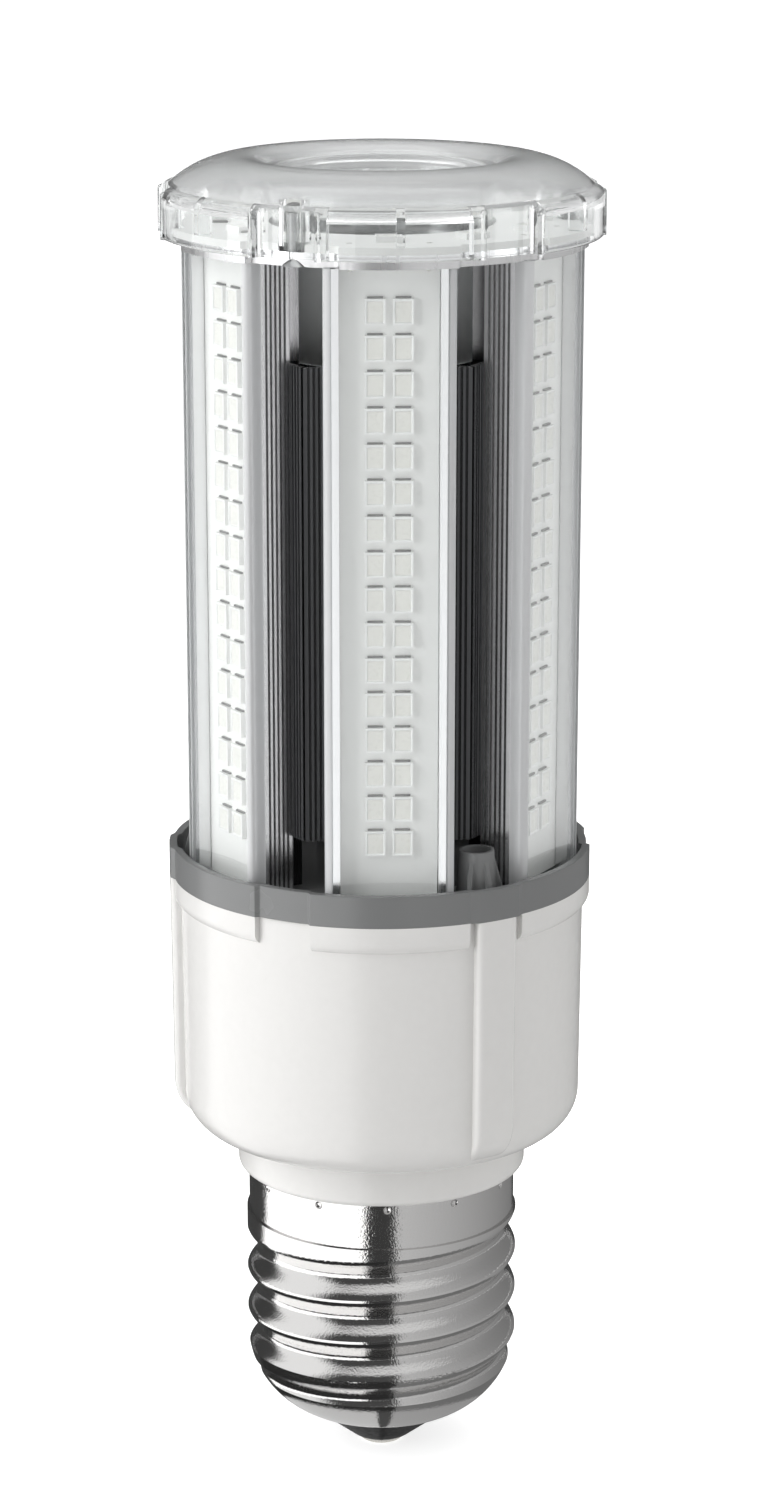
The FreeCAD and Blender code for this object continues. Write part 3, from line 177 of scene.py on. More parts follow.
def sector_mesh(name, inner, outer, first, last, height, step_angle=5):
    """A flat piece of a ring between two radii and two bearings from the front, in steps of some degrees."""
    count = max(2, round((last - first) / step_angle) + 1)
    points = []
    for step in range(count):
        angle = math.radians(first + (last - first) * step / (count - 1))
        points += [(r * math.sin(angle), -r * math.cos(angle), height) for r in (inner, outer)]
    faces = [(2 * i, 2 * i + 1, 2 * i + 3, 2 * i + 2) for i in range(count - 1)]
    mesh = bpy.data.meshes.new(name)
    mesh.from_pydata(points, [], faces)
    return mesh


# Matt white paper. It glows a little to the camera, to bright metal and through
# the clear pieces, so that it melts into the backdrop and keeps the lamp's shadow.
FLOOR_RADIUS, FLOOR_GLOW = 6.0, 0.7
material, tree = new_material("white_floor_paper")
path = add(tree, "ShaderNodeLightPath").outputs
glow = add(tree, "ShaderNodeMath", {0: path["Is Camera Ray"], 1: path["Is Glossy Ray"]}, operation="MAXIMUM")
glow = add(tree, "ShaderNodeMath", {0: glow, 1: path["Is Transmission Ray"]}, operation="MAXIMUM")
glow = add(tree, "ShaderNodeMath", {0: glow, 1: FLOOR_GLOW}, operation="MULTIPLY")
paper = add(tree, "ShaderNodeBsdfDiffuse", {"Color": linear("#E8E8E8")})
shine = add(tree, "ShaderNodeEmission", {"Color": linear("#FFFFFF"), "Strength": glow})
both = add(tree, "ShaderNodeAddShader", {0: paper, 1: shine})
add(tree, "ShaderNodeOutputMaterial", {"Surface": both})
floor = link_object("floor", sector_mesh("floor", 0.0, FLOOR_RADIUS, -180, 180, 0.0))
floor.data.materials.append(material)

# Cards laid round the lamp, which only bright metal shows. They are glowing sheets,
# not lamps, that paint its reflections of the room; the dark ones close under the nose
# are a painted reflection of the shade round the lamp's foot. Inner and outer radius
# in metres, first and last bearing from the camera in degrees, and the level of glow
# at each of the two.
CARD_HEIGHT = 0.3
CARDS = {
    "card_nose_left": (0.004, 0.0185, -112, -3, 0.70, 0.60),
    "card_nose_front": (0.004, 0.0185, -3, 8, 0.08, 0.08),
    "card_nose_right": (0.004, 0.0185, 8, 165, 0.42, 0.25),
    "card_under_left": (0.0185, 0.045, -112, 10, 0.03, 0.03),
    "card_under_right": (0.0185, 0.045, 10, 165, 0.20, 0.15),
    "card_at_camera": (0.045, 1.5, -13, 11, 0.05, 0.05),
    "card_right": (0.045, 1.5, 11, 150, 0.62, 0.20),
    "card_behind": (0.0, 1.5, 150, 248, 0.06, 0.06),
}
for name, (inner, outer, first, last, near, far) in CARDS.items():
    material, tree = new_material(name + "_grey")
    place = add(tree, "ShaderNodeTexCoord").outputs["Object"]
    bearing = bearing_from(tree, place, math.radians((first + last) / 2 + CAMERA_TURN))
    half = math.radians((last - first) / 2)
    level = add(tree, "ShaderNodeMapRange", {"Value": bearing, "From Min": -half, "From Max": half,
                                             "To Min": near, "To Max": far})
    shine = add(tree, "ShaderNodeEmission", {"Color": linear("#FFFFFF"), "Strength": level})
    add(tree, "ShaderNodeOutputMaterial", {"Surface": shine})
    card = link_object(name, sector_mesh(name, inner, outer, first + CAMERA_TURN, last + CAMERA_TURN,
                                         CARD_HEIGHT * MM))
    card.data.materials.append(material)
    card.visible_camera = card.visible_diffuse = card.visible_transmission = card.visible_shadow = False

# ---------------------------------------------------------------------------
# Screw shell. Drawn brass sheet rolled into a round thread, bright nickel plated,
# and staked to the housing's neck by a row of punch marks under its top edge.

# Nearly all of a noise's values lie between these two.
NOISE_LOW, NOISE_HIGH = 0.3, 0.7


def grain(tree, spot, low, high, stretch=(1, 1, 1), detail=3.0):
    """Noise with spots of a size in millimetres, as it is and spread between two values."""
    place = add(tree, "ShaderNodeTexCoord").outputs["Object"]
    placed = add(tree, "ShaderNodeMapping", {"Vector": place, "Scale": stretch})
    noise = add(tree, "ShaderNodeTexNoise", {"Vector": placed, "Scale": 1 / (spot * MM), "Detail": detail})
    spread = add(tree, "ShaderNodeMapRange", {"Value": noise, "From Min": NOISE_LOW, "From Max": NOISE_HIGH,
                                              "To Min": low, "To Max": high})
    return noise, spread


def dress(names, material):
    """Gives CAD nodes their finished material."""
    for name in names:
        mesh = nodes[name].data
        mesh.materials.clear()
        mesh.materials.append(material)


# Bright nickel keeps the drawn sheet's fine peel, spots of a quarter of a
# millimetre, which breaks the edges of what it mirrors into grains.
PEEL_HEIGHT = 0.022
material, tree = new_material("nickel_plated_brass_drawn")
noise, rough = grain(tree, spot=0.2857, low=0.07, high=0.15, detail=1.0)
bump = add(tree, "ShaderNodeBump", {"Height": noise, "Strength": 1.0, "Distance": PEEL_HEIGHT * MM})
metal = add(tree, "ShaderNodeBsdfPrincipled", {"Base Color": linear("#E0DFDE"), "Metallic": 1.0,
                                               "Roughness": rough, "Normal": bump})
add(tree, "ShaderNodeOutputMaterial", {"Surface": metal})
dress(["screw_shell"], material)

# ---------------------------------------------------------------------------
# Contact end. A black moulded insulator pressed into the shell's nose carries
# the centre contact, a nickel-plated rivet head.


def finish(name, shades, spot, rough, metal=0.0, specular=0.5, bump=None, edge=None):
    """A material whose shade and roughness wander between two values each, in spots of a size in millimetres.

    A bump is given by its strength and its height in millimetres, a rounded edge by its radius in millimetres.
    """
    material, tree = new_material(name)
    noise, roughness = grain(tree, spot, *rough)
    shade = add(tree, "ShaderNodeMix", {"Factor": noise, 6: linear(shades[0]), 7: linear(shades[1])},
                data_type="RGBA")
    links = {"Base Color": shade.outputs[2], "Roughness": roughness, "Metallic": metal,
             "Specular IOR Level": specular}
    if bump:
        links["Normal"] = add(tree, "ShaderNodeBump", {"Height": noise, "Strength": bump[0],
                                                       "Distance": bump[1] * MM})
    if edge:
        links["Normal"] = add(tree, "ShaderNodeBevel", {"Radius": edge * MM}, samples=6)
    shader = add(tree, "ShaderNodeBsdfPrincipled", links)
    add(tree, "ShaderNodeOutputMaterial", {"Surface": shader})
    return material


# Filled phenolic comes dull from the mould and stays black beside bright metal.
dress(["base_insulator"], finish("phenolic_moulded_black", ("#121213", "#1A1A1B"), spot=0.6667,
                                 rough=(0.45, 0.6), specular=0.2))
# Pressed and plated in a barrel, so softer and warmer than the shell.
dress(["centre_contact"], finish("nickel_plated_contact", ("#C3C1BC", "#CECCC7"), spot=0.8333,
                                 rough=(0.2, 0.35), metal=1.0))

# ---------------------------------------------------------------------------
# Driver housing. Injection moulded in glossy white polyester, in one piece with
# its collar, lip pads and screw pilasters. The shell is staked to its neck.

# A polished mould gives broad soft highlights, and the skin has a faint ripple.
dress(["driver_housing"], finish("pbt_moulded_white", ("#E0DFDD", "#E4E3E1"), spot=1.4286,
                                 rough=(0.20, 0.26), bump=(0.08, 0.02)))

# ---------------------------------------------------------------------------
# Base ring. A grey moulded polyester ring screwed on the housing, with a lobed
# rim and three ribbed bosses between the arms.

# Semi-gloss. Its moulded edges are round by a quarter of a millimetre and draw
# thin light lines.
dress(["base_ring"], finish("pbt_moulded_grey", ("#787979", "#7C7D7D"), spot=12.5, rough=(0.24, 0.28),
                            edge=0.25))

# ---------------------------------------------------------------------------
# Screws. Zinc-plated steel. Three pan heads with a cross recess sit down in the
# ring's bosses, and flat heads hold the arms and the cap.
SHANK_RADIUS, PAN_RADIUS, PAN_HEIGHT, PAN_SIDES = 1.25, 1.8, 1.3, 24
# The head's outline from its seat to its top, as shares of its radius and height.
PAN_PROFILE = ((1.0, 0.0), (1.0, 0.55), (0.93, 0.85), (0.75, 1.0))
RECESS_REACH, RECESS_HALF_WIDTH, RECESS_DEPTH, RECESS_TAPER = 1.0, 0.28, 0.8, 0.7
RING_SCREW_COUNT, RING_SCREW_LENGTH = 3, 15.0
RING_SCREW_RADIUS, RING_SCREW_BEARING, RING_SCREW_SEAT = 24.5, -60, 91.8

# Bright zinc is a dull silver that blurs what it mirrors.
zinc = finish("zinc_plated_steel", ("#BDBFC2", "#C9C9C7"), spot=0.6667, rough=(0.25, 0.4), metal=1.0)
dress(["bottom_arm_screws", "top_arm_screws", "cap_screws"], zinc)


def pan_head(name, length):
    """A round-headed screw with its head's underside on Z = 0 and a cross recess in its top."""
    mesh = bmesh.new()

    def circle(radius, level):
        turns = [2 * math.pi * i / PAN_SIDES for i in range(PAN_SIDES)]
        return [mesh.verts.new((radius * math.cos(t) * MM, radius * math.sin(t) * MM, level * MM)) for t in turns]

    rings = [circle(SHANK_RADIUS, -length), circle(SHANK_RADIUS, 0)]
    rings += [circle(wide * PAN_RADIUS, high * PAN_HEIGHT) for wide, high in PAN_PROFILE]
    for low, high in zip(rings, rings[1:]):
        for i in range(PAN_SIDES):
            after = (i + 1) % PAN_SIDES
            mesh.faces.new((low[i], low[after], high[after], high[i]))
    mesh.faces.new(rings[0][::-1])
    arm, half = RECESS_REACH, RECESS_HALF_WIDTH
    plan = [(arm, -half), (arm, half), (half, half), (half, arm), (-half, arm), (-half, half), (-arm, half),
            (-arm, -half), (-half, -half), (-half, -arm), (half, -arm), (half, -half)]
    mouth = [mesh.verts.new((x * MM, y * MM, PAN_HEIGHT * MM)) for x, y in plan]
    foot = [mesh.verts.new((RECESS_TAPER * x * MM, RECESS_TAPER * y * MM, (PAN_HEIGHT - RECESS_DEPTH) * MM))
            for x, y in plan]
    for i in range(len(plan)):
        after = (i + 1) % len(plan)
        mesh.faces.new((mouth[i], mouth[after], foot[after], foot[i]))
    mesh.faces.new(foot)
    rim = [mesh.edges.get((loop[i], loop[(i + 1) % len(loop)])) for loop in (rings[-1], mouth)
           for i in range(len(loop))]
    bmesh.ops.triangle_fill(mesh, edges=rim, use_beauty=True)
    bmesh.ops.recalc_face_normals(mesh, faces=mesh.faces)
    data = bpy.data.meshes.new(name)
    mesh.to_mesh(data)
    return data


def named_tree(name, sockets):
    """A Geometry Nodes tree with named inputs of the given kinds, and those inputs to draw on."""
    tree = bpy.data.node_groups.new(name, "GeometryNodeTree")
    for label, kind in sockets.items():
        tree.interface.new_socket(label, in_out="INPUT", socket_type="NodeSocket" + kind)
    tree.interface.new_socket("Geometry", in_out="OUTPUT", socket_type="NodeSocketGeometry")
    return tree, add(tree, "NodeGroupInput").outputs


def copies(tree, part, points, facing, material):
    """A part on every point, turned to face a way, as real mesh of one material."""
    source = add(tree, "GeometryNodeObjectInfo", {"Object": part, "As Instance": True})
    placed = add(tree, "GeometryNodeInstanceOnPoints", {"Points": points, "Rotation": facing,
                                                        "Instance": source.outputs["Geometry"]})
    solid = add(tree, "GeometryNodeRealizeInstances", {"Geometry": placed})
    return add(tree, "GeometryNodeSetMaterial", {"Geometry": solid, "Material": material})


def grow(name, tree, values):
    """A mesh piece made by a Geometry Nodes tree with its named inputs set."""
    holder = link_object(name, bpy.data.meshes.new(name + "_seed"))
    modifier = holder.modifiers.new("grow", "NODES")
    modifier.node_group = tree
    for item in tree.interface.items_tree:
        if item.item_type == "SOCKET" and item.in_out == "INPUT" and item.name in values:
            modifier[item.identifier] = values[item.name]
    shape = holder.evaluated_get(bpy.context.evaluated_depsgraph_get())
    mesh = bpy.data.meshes.new_from_object(shape)
    holder.modifiers.remove(modifier)
    holder.data = mesh
    mesh.name = name
    return holder


screws, given = named_tree("screw_ring", {"Screw": "Object", "Count": "Int", "Pitch Radius": "Float",
                                         "First Bearing": "Float", "Seat Height": "Float"})
circle = add(screws, "GeometryNodeMeshCircle", {"Vertices": given["Count"], "Radius": given["Pitch Radius"]})
lift = add(screws, "ShaderNodeCombineXYZ", {"Z": given["Seat Height"]})
bearing = add(screws, "ShaderNodeCombineXYZ", {"Z": given["First Bearing"]})
seats = add(screws, "GeometryNodeTransform", {"Geometry": circle, "Translation": lift, "Rotation": bearing})
add(screws, "NodeGroupOutput", {"Geometry": copies(screws, given["Screw"], seats, bearing, zinc)})

pan_screw = link_object("pan_head_part", pan_head("pan_head_part", RING_SCREW_LENGTH))
heads = grow("ring_pan_screws", screws, {
    "Screw": pan_screw, "Count": RING_SCREW_COUNT, "Pitch Radius": RING_SCREW_RADIUS * MM,
    "First Bearing": math.radians(RING_SCREW_BEARING), "Seat Height": RING_SCREW_SEAT * MM})
bpy.data.objects.remove(pan_screw)
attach(heads, "root")
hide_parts("ring_screws")

# ---------------------------------------------------------------------------
# Arms. Six extruded aluminium channels, clear anodised, with fine ribs along
# their sides. The wings behind them close the slots between the arms and carry
# painted shade, dark grey and less metallic, so the slots read nearly black.
ARMS = range(1, 7)
ARM_TURN = 60
# The painted shade on the wings ends between two distances out from the lamp's
# axis, and at the wings' top. Inside it the metal is less metallic.
PAINTED_SHADE_FROM, PAINTED_SHADE_TO, WING_TOP, PAINTED_SHADE_METAL = 20.02, 20.2, 163.9, 0.7
# The side grooves' floors, by their middle and half reach sideways and outwards,
# the outermost floor of the wings' grooves, and how dark each kind's painted shade is.
SIDE_FLOOR, SIDE_FLOOR_HALF, SIDE_GROOVES_MIDDLE, SIDE_GROOVES_HALF = 8.25, 0.25, 22.2, 1.9
WING_FLOOR = 19.8
SIDE_GROOVE_PAINTED_SHADE, WING_GROOVE_PAINTED_SHADE = 0.62, 0.4


def arm_places(tree):
    """Object coordinates, and each point's distance out along its arm and sideways from its middle."""
    place = add(tree, "ShaderNodeTexCoord").outputs["Object"]
    # Three directions serve for six arms, because opposite arms share one.
    depth = None
    for n in range(3):
        angle = math.radians(ARM_TURN * n)
        along = add(tree, "ShaderNodeVectorMath", {0: place, 1: (math.sin(angle), -math.cos(angle), 0.0)},
                    operation="DOT_PRODUCT")
        along = add(tree, "ShaderNodeMath", {0: along.outputs["Value"]}, operation="ABSOLUTE")
        if depth:
            along = add(tree, "ShaderNodeMath", {0: depth, 1: along}, operation="MAXIMUM")
        depth = along
    flat = add(tree, "ShaderNodeVectorMath", {0: place, 1: (1, 1, 0)}, operation="MULTIPLY")
    radius = add(tree, "ShaderNodeVectorMath", {0: flat, 1: flat}, operation="DOT_PRODUCT").outputs["Value"]
    square = add(tree, "ShaderNodeMath", {0: depth, 1: depth}, operation="MULTIPLY")
    across = add(tree, "ShaderNodeMath", {0: radius, 1: square}, operation="SUBTRACT")
    across = add(tree, "ShaderNodeMath", {0: across}, operation="SQRT")
    return place, depth, across


# Anodised aluminium is a satin metal that draws out what it mirrors along the
# arm. Its die lines are about a millimetre apart here, much coarser than real,
# because the real ones are too fine to show.
DIE_LINE_HEIGHT = 0.002
material, tree = new_material("aluminium_extruded_anodised")
noise, rough = grain(tree, spot=0.9091, low=0.18, high=0.28, stretch=(1, 1, 0), detail=0.0)
bump = add(tree, "ShaderNodeBump", {"Height": noise, "Strength": 1.0, "Distance": DIE_LINE_HEIGHT * MM})
place, depth, across = arm_places(tree)

# The painted shade ends at the wings' face and at their top, where the wings stop.
height = add(tree, "ShaderNodeSeparateXYZ", {"Vector": place}).outputs["Z"]
open_air = add(tree, "ShaderNodeMapRange", {"Value": depth, "From Min": PAINTED_SHADE_FROM * MM, "From Max": PAINTED_SHADE_TO * MM})
above_wings = add(tree, "ShaderNodeMath", {0: height, 1: WING_TOP * MM}, operation="GREATER_THAN")
bright = add(tree, "ShaderNodeMath", {0: open_air, 1: above_wings}, operation="MAXIMUM")
metallic = add(tree, "ShaderNodeMapRange", {"Value": bright, "To Min": PAINTED_SHADE_METAL, "To Max": 1.0})
shade = add(tree, "ShaderNodeMix", {"Factor": bright, 6: linear("#6E6F71"), 7: linear("#DFDFE0")},
            data_type="RGBA").outputs[2]

# The floors of the grooves get painted shade, which parts them from the ribs by dark lines.
sideways = add(tree, "ShaderNodeMath", {0: across, 1: SIDE_FLOOR * MM, 2: SIDE_FLOOR_HALF * MM},
               operation="COMPARE")
outwards = add(tree, "ShaderNodeMath", {0: depth, 1: SIDE_GROOVES_MIDDLE * MM, 2: SIDE_GROOVES_HALF * MM},
               operation="COMPARE")
side_groove = add(tree, "ShaderNodeMath", {0: sideways, 1: outwards}, operation="MULTIPLY")
sunk = add(tree, "ShaderNodeMath", {0: depth, 1: WING_FLOOR * MM}, operation="LESS_THAN")
wing_groove = add(tree, "ShaderNodeMath", {0: sunk, 1: above_wings}, operation="GREATER_THAN")
for groove, level in ((side_groove, SIDE_GROOVE_PAINTED_SHADE), (wing_groove, WING_GROOVE_PAINTED_SHADE)):
    painted_groove_shade = add(tree, "ShaderNodeMapRange", {"Value": groove, "To Min": 1.0, "To Max": level})
    shade = add(tree, "ShaderNodeVectorMath", {0: shade, "Scale": painted_groove_shade}, operation="SCALE")
metal = add(tree, "ShaderNodeBsdfPrincipled", {"Base Color": shade, "Metallic": metallic, "Roughness": rough,
                                               "Normal": bump})
add(tree, "ShaderNodeOutputMaterial", {"Surface": metal})
dress([f"heatsink_arm_{n}" for n in ARMS] + ["top_plate"], material)

# ---------------------------------------------------------------------------
# Boards. Aluminium-core circuit boards, one long strip slid into each arm and a
# round one on the top plate.

# White solder mask, cured to an even satin, the brightest skin on the lamp.
dress([f"led_board_{n}" for n in ARMS] + ["top_led_board"],
      finish("solder_mask_white", ("#F6F6F4", "#FCFCFA"), spot=0.8333, rough=(0.3, 0.42), bump=(0.06, 0.02)))

# ---------------------------------------------------------------------------
# LED packages. A white moulded frame round a silicone-filled well, soldered to
# the board at its ends. Two columns of sixteen stand on each strip, and twelve
# stand in a ring on the round board.
LED_WIDTH, LED_LENGTH, LED_HEIGHT, LED_WALL = 2.8, 3.5, 0.8, 0.22
WELL_FLOOR, WELL_DEPTH = (1.9, 2.5), 0.28
FILL_SIZE, FILL_SINK = (2.1, 2.7, 0.16), 0.2
SOLDER_SIZE, SOLDER_OUT = (2.1, 0.3, 0.3), 0.1
LED_ROWS, LED_COLUMN_PITCH, LED_PITCH = 16, 3.74, 4.855
ARM_FOOT, LED_FOOT, BOARD_FACE = 90.3, 7.1, 23.5
LED_MIDDLE = ARM_FOOT + LED_FOOT + LED_LENGTH / 2 + LED_PITCH * (LED_ROWS - 1) / 2
TOP_LED_COUNT, TOP_LED_RADIUS, TOP_BOARD_FACE = 12, 22.0, 181.0

PACKAGE = {
    # White polyamide, a little glossy, so that its rim stands off the board.
    "Frame": finish("ppa_moulded_led_frame", ("#F3F3F2", "#F9F9F8"), spot=0.4, rough=(0.25, 0.38)),
    # Cast silicone with phosphor powder, a warm off-white with faint grains. The
    # powder is finer than can be drawn, so its grains are a third of a millimetre.
    "Fill": finish("silicone_phosphor_fill", ("#E8E7E1", "#F0EFEA"), spot=0.3333, rough=(0.25, 0.35)),
    # Tin solder flowed up the package's end, a dark line over it. Only the upper
    # end's is drawn, because the package hides the other from above.
    "Solder": finish("tin_solder_fillet", ("#7A7A79", "#8A8A89"), spot=0.3333, rough=(0.28, 0.42), metal=1.0),
}


def tray(name):
    """A package's frame lying on +Z: an open-topped block whose well narrows to a smaller floor."""
    mesh = bmesh.new()
    rings = []
    mouth = (LED_WIDTH - 2 * LED_WALL, LED_LENGTH - 2 * LED_WALL)
    for (wide, long), level in (((LED_WIDTH, LED_LENGTH), 0), ((LED_WIDTH, LED_LENGTH), LED_HEIGHT),
                                (mouth, LED_HEIGHT), (WELL_FLOOR, LED_HEIGHT - WELL_DEPTH)):
        rings.append([mesh.verts.new((x * wide / 2 * MM, y * long / 2 * MM, level * MM))
                      for x, y in ((-1, -1), (1, -1), (1, 1), (-1, 1))])
    for low, high in zip(rings, rings[1:]):
        for i in range(4):
            mesh.faces.new((low[i], low[(i + 1) % 4], high[(i + 1) % 4], high[i]))
    mesh.faces.new(rings[-1])
    mesh.faces.new(rings[0][::-1])
    data = bpy.data.meshes.new(name)
    mesh.to_mesh(data)
    return data


def slab(name, size, centre):
    """A block given by its size and its centre."""
    mesh = bmesh.new()
    bmesh.ops.create_cube(mesh, size=1.0)
    for vertex in mesh.verts:
        vertex.co = Vector([(c + v * s) * MM for c, v, s in zip(centre, vertex.co, size)])
    data = bpy.data.meshes.new(name)
    mesh.to_mesh(data)
    return data


package_parts = {
    "Frame": link_object("led_frame_part", tray("led_frame_part")),
    "Fill": link_object("led_fill_part", slab("led_fill_part", FILL_SIZE, (0, 0, LED_HEIGHT - FILL_SINK))),
    "Solder": link_object("led_solder_part", slab("led_solder_part", SOLDER_SIZE,
                                                  (0, LED_LENGTH / 2 + SOLDER_OUT, SOLDER_SIZE[2] / 2))),
}


def packages(tree, given, points, facing):
    """The three parts of a package on every point, joined."""
    joined = add(tree, "GeometryNodeJoinGeometry")
    for name, material in PACKAGE.items():
        part = copies(tree, given[name], points, facing, material)
        tree.links.new(part.outputs[0], joined.inputs[0])
    return joined


strip, given = named_tree("led_strip", {
    "Frame": "Object", "Fill": "Object", "Solder": "Object", "Column Pitch": "Float", "Row Pitch": "Float",
    "Rows": "Int", "Board Face": "Float", "Middle Height": "Float", "Arm Turn": "Float"})
steps = add(strip, "ShaderNodeMath", {0: given["Rows"], 1: 1.0}, operation="SUBTRACT")
length = add(strip, "ShaderNodeMath", {0: steps, 1: given["Row Pitch"]}, operation="MULTIPLY")
grid = add(strip, "GeometryNodeMeshGrid", {"Size X": given["Column Pitch"], "Size Y": length,
                                           "Vertices X": 2, "Vertices Y": given["Rows"]})
reach = add(strip, "ShaderNodeMath", {0: given["Board Face"], 1: -1.0}, operation="MULTIPLY")
middle = add(strip, "ShaderNodeCombineXYZ", {"Y": reach, "Z": given["Middle Height"]})
standing = add(strip, "GeometryNodeTransform", {"Geometry": grid, "Translation": middle,
                                                "Rotation": (math.pi / 2, 0, 0)})
turning = add(strip, "ShaderNodeCombineXYZ", {"Z": given["Arm Turn"]})
turned = add(strip, "GeometryNodeTransform", {"Geometry": standing, "Rotation": turning})
facing = add(strip, "ShaderNodeCombineXYZ", {"X": math.pi / 2, "Z": given["Arm Turn"]})
add(strip, "NodeGroupOutput", {"Geometry": packages(strip, given, turned, facing)})

for n in ARMS:
    leds = grow(f"strip_led_rows_{n}", strip, {
        **package_parts, "Column Pitch": LED_COLUMN_PITCH * MM, "Row Pitch": LED_PITCH * MM, "Rows": LED_ROWS,
        "Board Face": BOARD_FACE * MM, "Middle Height": LED_MIDDLE * MM,
        "Arm Turn": math.radians(ARM_TURN * (n - 1))})
    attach(leds, "root")
    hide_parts(f"strip_leds_{n}")

ring, given = named_tree("led_ring", {
    "Frame": "Object", "Fill": "Object", "Solder": "Object", "Count": "Int", "Pitch Radius": "Float",
    "Board Face": "Float"})
circle = add(ring, "GeometryNodeMeshCircle", {"Vertices": given["Count"], "Radius": given["Pitch Radius"]})
lift = add(ring, "ShaderNodeCombineXYZ", {"Z": given["Board Face"]})
raised = add(ring, "GeometryNodeTransform", {"Geometry": circle, "Translation": lift})
step = add(ring, "ShaderNodeMath", {0: 2 * math.pi, 1: given["Count"]}, operation="DIVIDE")
bearing = add(ring, "ShaderNodeMath", {0: add(ring, "GeometryNodeInputIndex"), 1: step}, operation="MULTIPLY")
facing = add(ring, "ShaderNodeCombineXYZ", {"Z": bearing})
add(ring, "NodeGroupOutput", {"Geometry": packages(ring, given, raised, facing)})

leds = grow("top_led_ring", ring, {**package_parts, "Count": TOP_LED_COUNT, "Pitch Radius": TOP_LED_RADIUS * MM,
                                   "Board Face": TOP_BOARD_FACE * MM})
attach(leds, "root")
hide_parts("top_leds")
for thing in package_parts.values():
    bpy.data.objects.remove(thing)

# ---------------------------------------------------------------------------
# Covers. Extruded clear polycarbonate channels slid over the boards. Their rolled
# edges catch the soft boxes as bright lines.

# The side walls stand further than this from the arm's middle, or further in
# than the face's back.
SIDE_WALL, FACE_BACK = 7.9, 25.7
SIDE_HAZE, SIDE_CLARITY = 0.32, 0.30
# A ray that has bounced more often than this passes straight through.
LAST_BOUNCE = 5.0
POLYCARBONATE_IOR = 1.585


def clear_plastic(tree, tint, links):
    """Clear polycarbonate, finished by its links, that lets the lamps reach what it covers."""
    glass = add(tree, "ShaderNodeBsdfPrincipled", {"IOR": POLYCARBONATE_IOR, **links})
    clear = add(tree, "ShaderNodeBsdfTransparent", {"Color": linear(tint)})
    path = add(tree, "ShaderNodeLightPath").outputs
    lit = add(tree, "ShaderNodeMath", {0: path["Is Shadow Ray"], 1: path["Is Diffuse Ray"]}, operation="MAXIMUM")
    spent = add(tree, "ShaderNodeMath", {0: path["Ray Depth"], 1: LAST_BOUNCE}, operation="GREATER_THAN")
    passed = add(tree, "ShaderNodeMath", {0: lit, 1: spent}, operation="MAXIMUM")
    mix = add(tree, "ShaderNodeMixShader", {0: passed, 1: glass, 2: clear})
    add(tree, "ShaderNodeOutputMaterial", {"Surface": mix})


# The face is clear and shows the board. The side walls are hazy from the die, so
# they stand beside it as light grey bands.
material, tree = new_material("polycarbonate_extruded_clear")
place, depth, across = arm_places(tree)
outer = add(tree, "ShaderNodeMath", {0: across, 1: SIDE_WALL * MM}, operation="GREATER_THAN")
behind = add(tree, "ShaderNodeMath", {0: depth, 1: FACE_BACK * MM}, operation="LESS_THAN")
side = add(tree, "ShaderNodeMath", {0: outer, 1: behind}, operation="MAXIMUM")
scuff = grain(tree, spot=0.6667, low=0.02, high=0.04)[1]
haze = add(tree, "ShaderNodeMath", {0: side, 1: SIDE_HAZE, 2: scuff}, operation="MULTIPLY_ADD")
clarity = add(tree, "ShaderNodeMapRange", {"Value": side, "To Min": 1.0, "To Max": SIDE_CLARITY})
shade = add(tree, "ShaderNodeMix", {"Factor": side, 6: linear("#FDFEFE"), 7: linear("#D8D9DA")}, data_type="RGBA")
clear_plastic(tree, "#FDFEFE", {"Base Color": shade.outputs[2], "Roughness": haze, "Transmission Weight": clarity})
dress([f"arm_cover_{n}" for n in ARMS], material)

# ---------------------------------------------------------------------------
# Cap. Injection moulded clear polycarbonate, held on the top plate by three
# screws. It closes the arms' ends round the air well through its middle.

# Its upright side is polished between two heights, while the dome and the well
# come satin from the mould and blur what lies under them.
POLISHED_FROM, POLISHED_TO, POLISH_FADE = 178.6, 184.8, 1.0
POLISH, DOME_SATIN, WELL_SATIN, SATIN_CLARITY = 0.03, 0.07, 0.30, 0.75
material, tree = new_material("polycarbonate_moulded_clear")
place = add(tree, "ShaderNodeTexCoord").outputs["Object"]
height = add(tree, "ShaderNodeSeparateXYZ", {"Vector": place}).outputs["Z"]
above = add(tree, "ShaderNodeMapRange", {"Value": height, "From Min": POLISHED_TO * MM,
                                         "From Max": (POLISHED_TO + POLISH_FADE) * MM,
                                         "To Min": POLISH, "To Max": DOME_SATIN})
below = add(tree, "ShaderNodeMapRange", {"Value": height, "From Min": POLISHED_FROM * MM,
                                         "From Max": (POLISHED_FROM - POLISH_FADE) * MM,
                                         "To Min": POLISH, "To Max": WELL_SATIN})
satin = add(tree, "ShaderNodeMath", {0: above, 1: below}, operation="MAXIMUM")
dulled = add(tree, "ShaderNodeMapRange", {"Value": satin, "From Min": POLISH, "From Max": DOME_SATIN})
clarity = add(tree, "ShaderNodeMapRange", {"Value": dulled, "To Min": 1.0, "To Max": SATIN_CLARITY})
shade = add(tree, "ShaderNodeMix", {"Factor": dulled, 6: linear("#FAFBFB"), 7: linear("#DDDEDE")},
            data_type="RGBA")
clear_plastic(tree, "#EFF0F0", {"Base Color": shade.outputs[2], "Roughness": satin, "Transmission Weight": clarity})
dress(["cap_cover"], material)

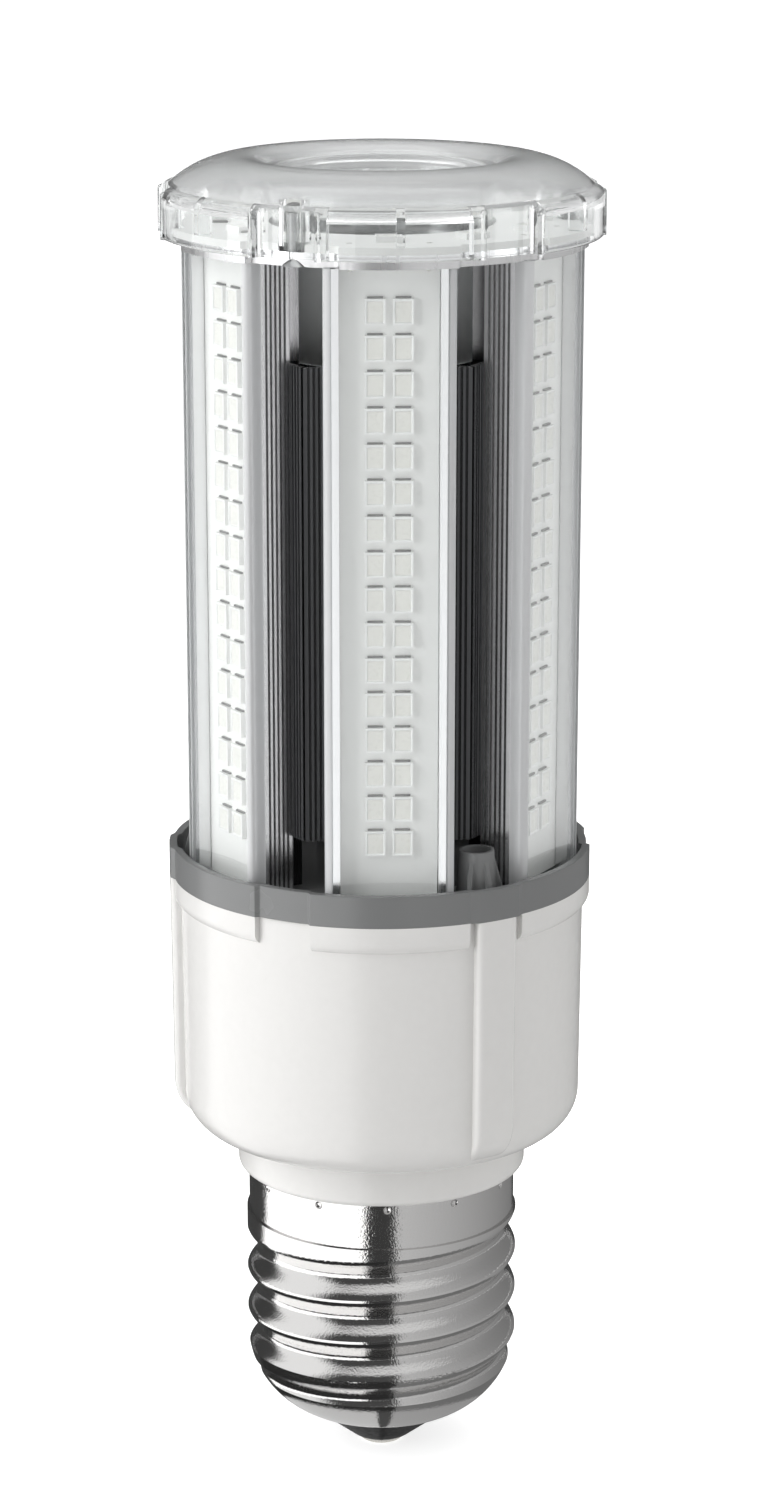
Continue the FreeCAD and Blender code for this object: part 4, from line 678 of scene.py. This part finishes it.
# ---------------------------------------------------------------------------
# Link wires. Copper jumpers soldered between the round board and each strip.

# Hot-tinned copper has a soft silver sheen.
dress(["link_wires"], finish("tinned_copper_wire", ("#C2C0BC", "#CECCC8"), spot=0.4, rough=(0.24, 0.38),
                             metal=1.0))

# ---------------------------------------------------------------------------
# Driver. A laminate board with its soldered parts, slid into the housing's
# guides. It feeds the boards, and nothing of it shows while the housing is shut.

# Shades, roughness and metal of each part's skin. Tape, lacquer and sleeves are
# glossy, epoxy and silicone satin, and the pressed ferrite matt.
DRIVER = {
    "driver_board": ("glass_laminate_green", ("#66825B", "#6E8B62"), (0.4, 0.5), 0.0),
    "transformer_core": ("ferrite_pressed_grey", ("#363637", "#3A3A3C"), (0.6, 0.7), 0.0),
    "transformer_coil": ("polyester_tape_yellow", ("#CAA840", "#D8B445"), (0.35, 0.45), 0.0),
    "bulk_capacitors": ("pvc_sleeve_black", ("#232428", "#26272B"), (0.3, 0.4), 0.0),
    "line_inductor": ("heat_shrink_black", ("#1A1A1C", "#1D1D1F"), (0.45, 0.55), 0.0),
    "fuse_resistor": ("lacquer_green", ("#487256", "#4E7A5C"), (0.35, 0.45), 0.0),
    "bridge_rectifier": ("epoxy_moulded_black", ("#1D1D1F", "#202022"), (0.5, 0.6), 0.0),
    "power_transistor": ("epoxy_moulded_black_2", ("#1D1D1F", "#202022"), (0.5, 0.6), 0.0),
    "transistor_heatsink": ("aluminium_sheet_cut", ("#ADAEAF", "#B9BABB"), (0.35, 0.45), 1.0),
    "contact_lead": ("silicone_lead_white", ("#CBCBC8", "#D9D9D6"), (0.5, 0.6), 0.0),
    "shell_lead": ("silicone_lead_white_2", ("#CBCBC8", "#D9D9D6"), (0.5, 0.6), 0.0),
}
for node, (name, shades, rough, metal) in DRIVER.items():
    dress([node], finish(name, shades, spot=0.8333, rough=rough, metal=metal))

# ---------------------------------------------------------------------------
# Output. The scene's settings.
bpy.context.scene.view_settings.view_transform = "Standard"
